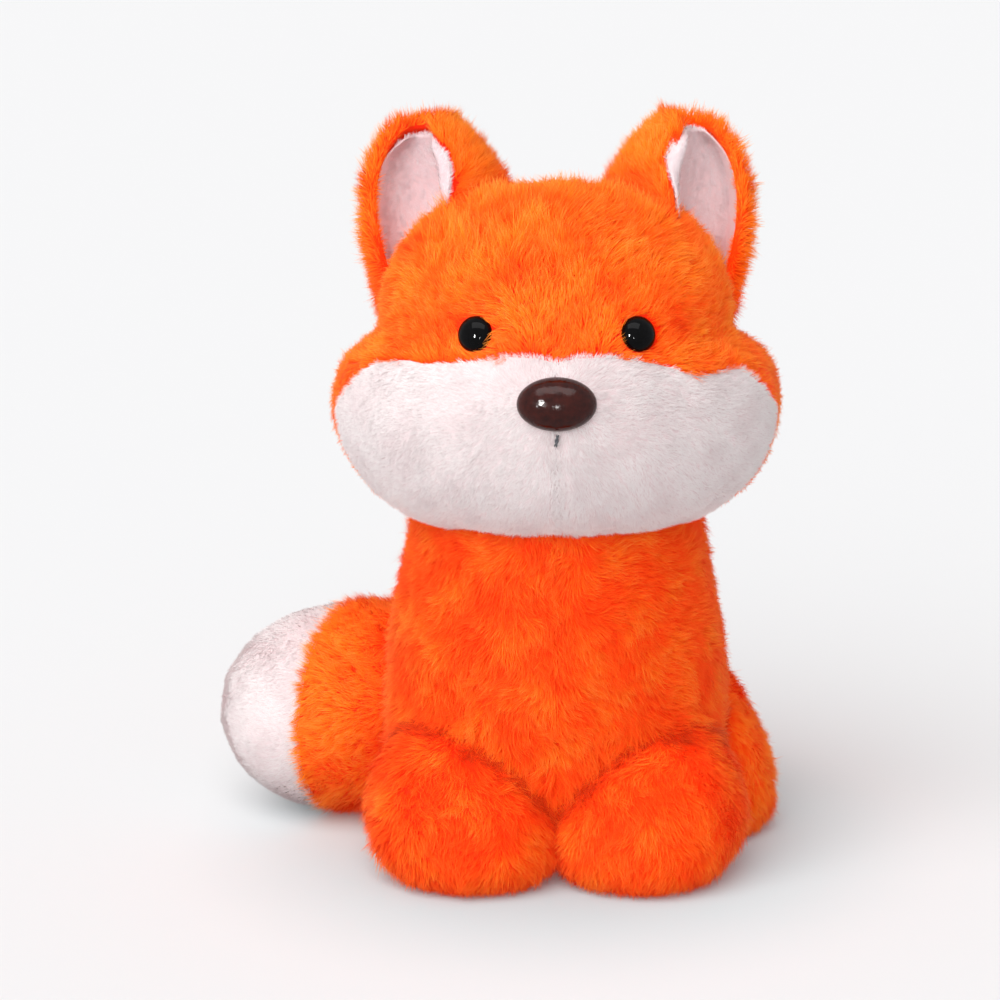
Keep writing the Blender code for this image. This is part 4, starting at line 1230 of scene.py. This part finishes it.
# Threads: two plies twisted together, as sewing thread is.
def threadMaterial(name, dark, light, pitch):
    material, tree, shader = newMaterial(name, Roughness=0.6, **{"Sheen Weight": 0.2})
    where = addNode(tree, "ShaderNodeTexCoord")
    turn = addNode(tree, "ShaderNodeMapping", {"Rotation": (0, math.radians(35), 0)},
                   {"Vector": where.outputs["Object"]})
    fibre = addNode(tree, "ShaderNodeTexWave", {"Scale": 0.31 / pitch, "Distortion": 2.0,
                                                "Detail": 2.0},
                    {"Vector": turn.outputs["Vector"]})
    shade = addNode(tree, "ShaderNodeValToRGB", links={"Fac": fibre.outputs["Fac"]})
    fillRamp(shade, ((0.0, dark), (1.0, light)))
    bump = addNode(tree, "ShaderNodeBump", {"Strength": 1.0, "Distance": 0.04 * mm},
                   {"Height": fibre.outputs["Fac"]})
    tree.links.new(shade.outputs["Color"], shader.inputs["Base Color"])
    tree.links.new(bump.outputs["Normal"], shader.inputs["Normal"])
    return material


# Mercerised polyester thread: a slight gloss, its fibres show as fine slanting lines.
darkThread = threadMaterial("charcoal_polyester_thread", "#26262A", "#55555C", 0.25 * mm)
orangeThread = threadMaterial("orange_polyester_thread", "#C83A08", "#F06A20", 0.25 * mm)

mouthSet = {"length": 3.8 * mm, "ply": 0.36 * mm, "apart": 0.26 * mm, "turns": 1.2,
            "proud": 1.2 * mm, "drop": 0.7 * mm, "lean": 11}
plies = []
for offset in (-1, 1):
    bpy.ops.object.select_all(action="DESELECT")
    bpy.ops.mesh.primitive_uv_sphere_add(
        segments=12, ring_count=24, radius=1, location=(offset * mouthSet["apart"], 0, 0),
        scale=(mouthSet["ply"], mouthSet["ply"], mouthSet["length"] / 2))
    bpy.ops.object.transform_apply(location=True, rotation=True, scale=True)
    plies.append(bpy.context.object)
stitch = only(plies[0])
plies[1].select_set(True)
bpy.ops.object.join()
stitch.name = "mouth_stitch_thread"
applyModifier(stitch, "SIMPLE_DEFORM", deform_method="TWIST", deform_axis="Z",
              angle=2 * math.pi * mouthSet["turns"])
setInPlace(stitch, Matrix.Translation((0, mouth["y"] - mouthSet["proud"],
                                       mouth["z"] - mouthSet["drop"]))
           @ Matrix.Rotation(math.radians(mouthSet["lean"]), 4, "Y"))
only(stitch)
bpy.ops.object.shade_smooth()
stitch.data.materials.append(darkThread)
finishPiece(stitch, "head", "dark_thread", "mouth_stitch")
nodes["closing_stitch"].material_slots[0].material = orangeThread
print("threads sewn")


# What is inside: fibre wadding, the pellet bag and the lock washers.

def fillingMaterial(name, low, high, size, rough):  # cloudy colour over a clumped surface
    material, tree, shader = newMaterial(name, Roughness=rough, **{"Sheen Weight": 0.3,
                                                                   "Specular IOR Level": 0.15})
    where = addNode(tree, "ShaderNodeTexCoord")
    clump = addNode(tree, "ShaderNodeTexNoise", {"Scale": 1 / size, "Detail": 6.0,
                                                 "Distortion": 1.5},
                    {"Vector": where.outputs["Object"]})
    shade = addNode(tree, "ShaderNodeValToRGB", links={"Fac": clump.outputs["Fac"]})
    fillRamp(shade, ((0.3, low), (0.7, high)))
    bump = addNode(tree, "ShaderNodeBump", {"Strength": 1.0, "Distance": size / 6},
                   {"Height": clump.outputs["Fac"]})
    tree.links.new(shade.outputs["Color"], shader.inputs["Base Color"])
    tree.links.new(bump.outputs["Normal"], shader.inputs["Normal"])
    return material


# Carded polyester wadding: white, matt, in soft clumps about 4 mm across.
fibrefill = fillingMaterial("polyester_wadding", "#DCDAD6", "#F6F5F2", 4 * mm, 0.95)
# Plain-woven cotton, pulled tight over small pellets that show as bumps.
pelletCotton = fillingMaterial("unbleached_cotton", "#CFC4AC", "#E6DDC8", 1.2 * mm, 0.9)
# Moulded nylon washers, natural white and slightly waxy.
nylon = beadMaterial("moulded_nylon", ((0.3, "#E2E0DA"), (0.7, "#EEECE6")), 1.5 * mm,
                     (0.4, 0.5), 0.02 * mm, IOR=1.53)

fillingSet = {
    "voxel": 3.0 * mm, "inset": 1.6 * mm, "clump": 0.009, "depth": 1.0 * mm,
    "pellet": 0.0035, "pelletDepth": 0.3 * mm, "bagVoxel": 1.6 * mm,
}
wads = {
    "torso": ("torso_stuffing", "front_leg_left_stuffing", "front_leg_right_stuffing",
              "hind_leg_left_stuffing", "hind_leg_right_stuffing"),
    "neck": ("neck_stuffing",), "head": ("head_stuffing",), "tail": ("tail_stuffing",),
}


def makeFilling(nodeName, name, voxel, inset, size, depth, seed):
    piece = copyOf(nodes[nodeName], name)
    setInPlace(piece, nodes[nodeName].matrix_world.copy())
    editPicked(piece, np.ones(len(piece.data.vertices), bool))
    bpy.ops.mesh.remove_doubles(threshold=1e-6)
    stopEditing()
    applyModifier(piece, "REMESH", mode="VOXEL", voxel_size=voxel)
    co, normals = vertexArray(piece), vertexArray(piece, "normal")
    bumps = np.clip(0.5 + 0.35 * softNoise(co, np.random.default_rng(seed), size), 0, 1)
    moveTo(piece, co - normals * (inset + depth * bumps)[:, None])
    only(piece)
    bpy.ops.object.shade_smooth()
    piece.data.materials.clear()
    return piece


for body, names in wads.items():
    for number, nodeName in enumerate(names):
        wad = makeFilling(nodeName, nodeName.replace("stuffing", "wadding"), fillingSet["voxel"],
                          fillingSet["inset"], fillingSet["clump"], fillingSet["depth"],
                          80 + number)
        wad.data.materials.append(fibrefill)
        finishPiece(wad, body, "fibre", nodeName, fill=0.9)
bag = makeFilling("pellet_bag", "pellet_bag_cotton", fillingSet["bagVoxel"], 0.3 * mm,
                  fillingSet["pellet"], fillingSet["pelletDepth"], 90)
bag.data.materials.append(pelletCotton)
finishPiece(bag, "torso", "cotton", "pellet_bag", fill=0.7)
for nodeName in ("eye_left_washer", "eye_right_washer", "nose_washer"):
    nodes[nodeName].material_slots[0].material = nylon
print("filling made")


for form in (torsoForm, headForm, tailForm, *frontForms.values(), *hindForms.values()):
    bpy.data.objects.remove(form)


# Stage and light.

stageSet = {
    "floorSize": 1200.0,
    "floorColour": "#E2E2E3",
    "floorPaintedShadow": "#BACFD2",  # painted shadow under the toy, darker and cooler, also offsetting the orange light that the toy throws there
    "paintedShadowReach": 0.13,
    "floorLift": 0.07,  # the camera sees the paper a touch brighter than the light makes it
    "backdrop": "#F9F9FA",
    "sky": 0.48,
    "sun": 3.0,
    "sunSoftness": 70,
    "sunFrom": (-0.42, -0.8, 0.85),
}
# Soft boxes that only gloss picks up: place, width, height and watts.
glints = {
    "overhead_box": ((-0.05, -0.35, 0.8), 0.9, 0.4, 4),
    "left_strip": ((-0.36, -0.71, 0.28), 0.045, 0.17, 14),
    "front_strip": ((0.0, -0.82, 0.15), 0.03, 0.1, 1.4),
}
glintAim = Vector((0, -0.055, 0.155))
bpy.ops.object.select_all(action="DESELECT")
bpy.ops.mesh.primitive_plane_add(size=stageSet["floorSize"])
floor = bpy.context.object
floor.name = "studio_floor"
# Matt white paper: no shine, so it keeps the soft shadow; near the toy it also has a painted shadow,
# darker and cooler.
paper, paperTree, paperShader = newMaterial(
    "matt_studio_paper", Roughness=1.0, **{"Specular IOR Level": 0.0})
# The floor is painted darker and cooler near the toy: a painted shadow.
paperWhere = addNode(paperTree, "ShaderNodeTexCoord")
paperAway = addNode(paperTree, "ShaderNodeVectorMath", {"operation": "LENGTH"},
                    {0: paperWhere.outputs["Object"]})
paintedShadowShare = addNode(paperTree, "ShaderNodeMapRange",
                     {"From Min": 0.04, "From Max": stageSet["paintedShadowReach"],
                      "interpolation_type": "SMOOTHSTEP"},
                     {"Value": paperAway.outputs["Value"]})
paperPaintedShadow = addNode(paperTree, "ShaderNodeMix",
                    {"data_type": "RGBA", 6: hexColour(stageSet["floorPaintedShadow"]),
                     7: hexColour(stageSet["floorColour"])},
                    {0: paintedShadowShare.outputs["Result"]})
paperTree.links.new(paperPaintedShadow.outputs[2], paperShader.inputs["Base Color"])
paperShader.inputs["Emission Color"].default_value = (1, 1, 1, 1)
paperPath = addNode(paperTree, "ShaderNodeLightPath")
paperLift = addNode(paperTree, "ShaderNodeMath", {"operation": "MULTIPLY", 1: stageSet["floorLift"]},
                    {0: paperPath.outputs["Is Camera Ray"]})
paperTree.links.new(paperLift.outputs[0], paperShader.inputs["Emission Strength"])
floor.data.materials.append(paper)

world = bpy.data.worlds.new("studio")
scene.world = world
world.use_nodes = True
tree = world.node_tree
tree.nodes.clear()
path = addNode(tree, "ShaderNodeLightPath")
either = addNode(tree, "ShaderNodeMath", {"operation": "MAXIMUM"},
                 {0: path.outputs["Is Camera Ray"], 1: path.outputs["Is Glossy Ray"]})
anyOf = addNode(tree, "ShaderNodeMath", {"operation": "MAXIMUM"},
                {0: either.outputs[0], 1: path.outputs["Is Transmission Ray"]})
soft = addNode(tree, "ShaderNodeBackground", {"Color": (1, 1, 1, 1),
                                              "Strength": stageSet["sky"]})
seen = addNode(tree, "ShaderNodeBackground", {"Color": hexColour(stageSet["backdrop"]),
                                              "Strength": 1.0})
blend = addNode(tree, "ShaderNodeMixShader", links={0: anyOf.outputs[0], 1: soft.outputs[0],
                                                    2: seen.outputs[0]})
addNode(tree, "ShaderNodeOutputWorld", links={"Surface": blend.outputs[0]})

bpy.ops.object.light_add(type="SUN", location=(0, 0, 1))
sun = bpy.context.object
sun.name = "key_light"
sun.data.energy = stageSet["sun"]
sun.data.angle = math.radians(stageSet["sunSoftness"])
sun.rotation_mode = "QUATERNION"
sun.rotation_quaternion = Vector(stageSet["sunFrom"]).to_track_quat("Z", "Y")
sun.visible_glossy = False
for name, (place, width, height, watts) in glints.items():
    bpy.ops.object.light_add(type="AREA", location=place)
    box = bpy.context.object
    box.name = name
    box.data.shape = "RECTANGLE"
    box.data.size, box.data.size_y = width, height
    box.data.energy = watts
    box.rotation_mode = "QUATERNION"
    box.rotation_quaternion = (Vector(place) - glintAim).to_track_quat("Z", "Y")
    box.visible_diffuse = False
scene.view_settings.view_transform = "Standard"
print("stage lit")

triangles = 0
for obj in scene.objects:
    if obj.type == "MESH" and not obj.hide_render and obj.name != floor.name:
        count = sum(len(p.vertices) - 2 for p in obj.data.polygons)
        triangles += count
        if count > 150000:
            print(obj.name, count, "triangles")
print(triangles, "triangles in all")
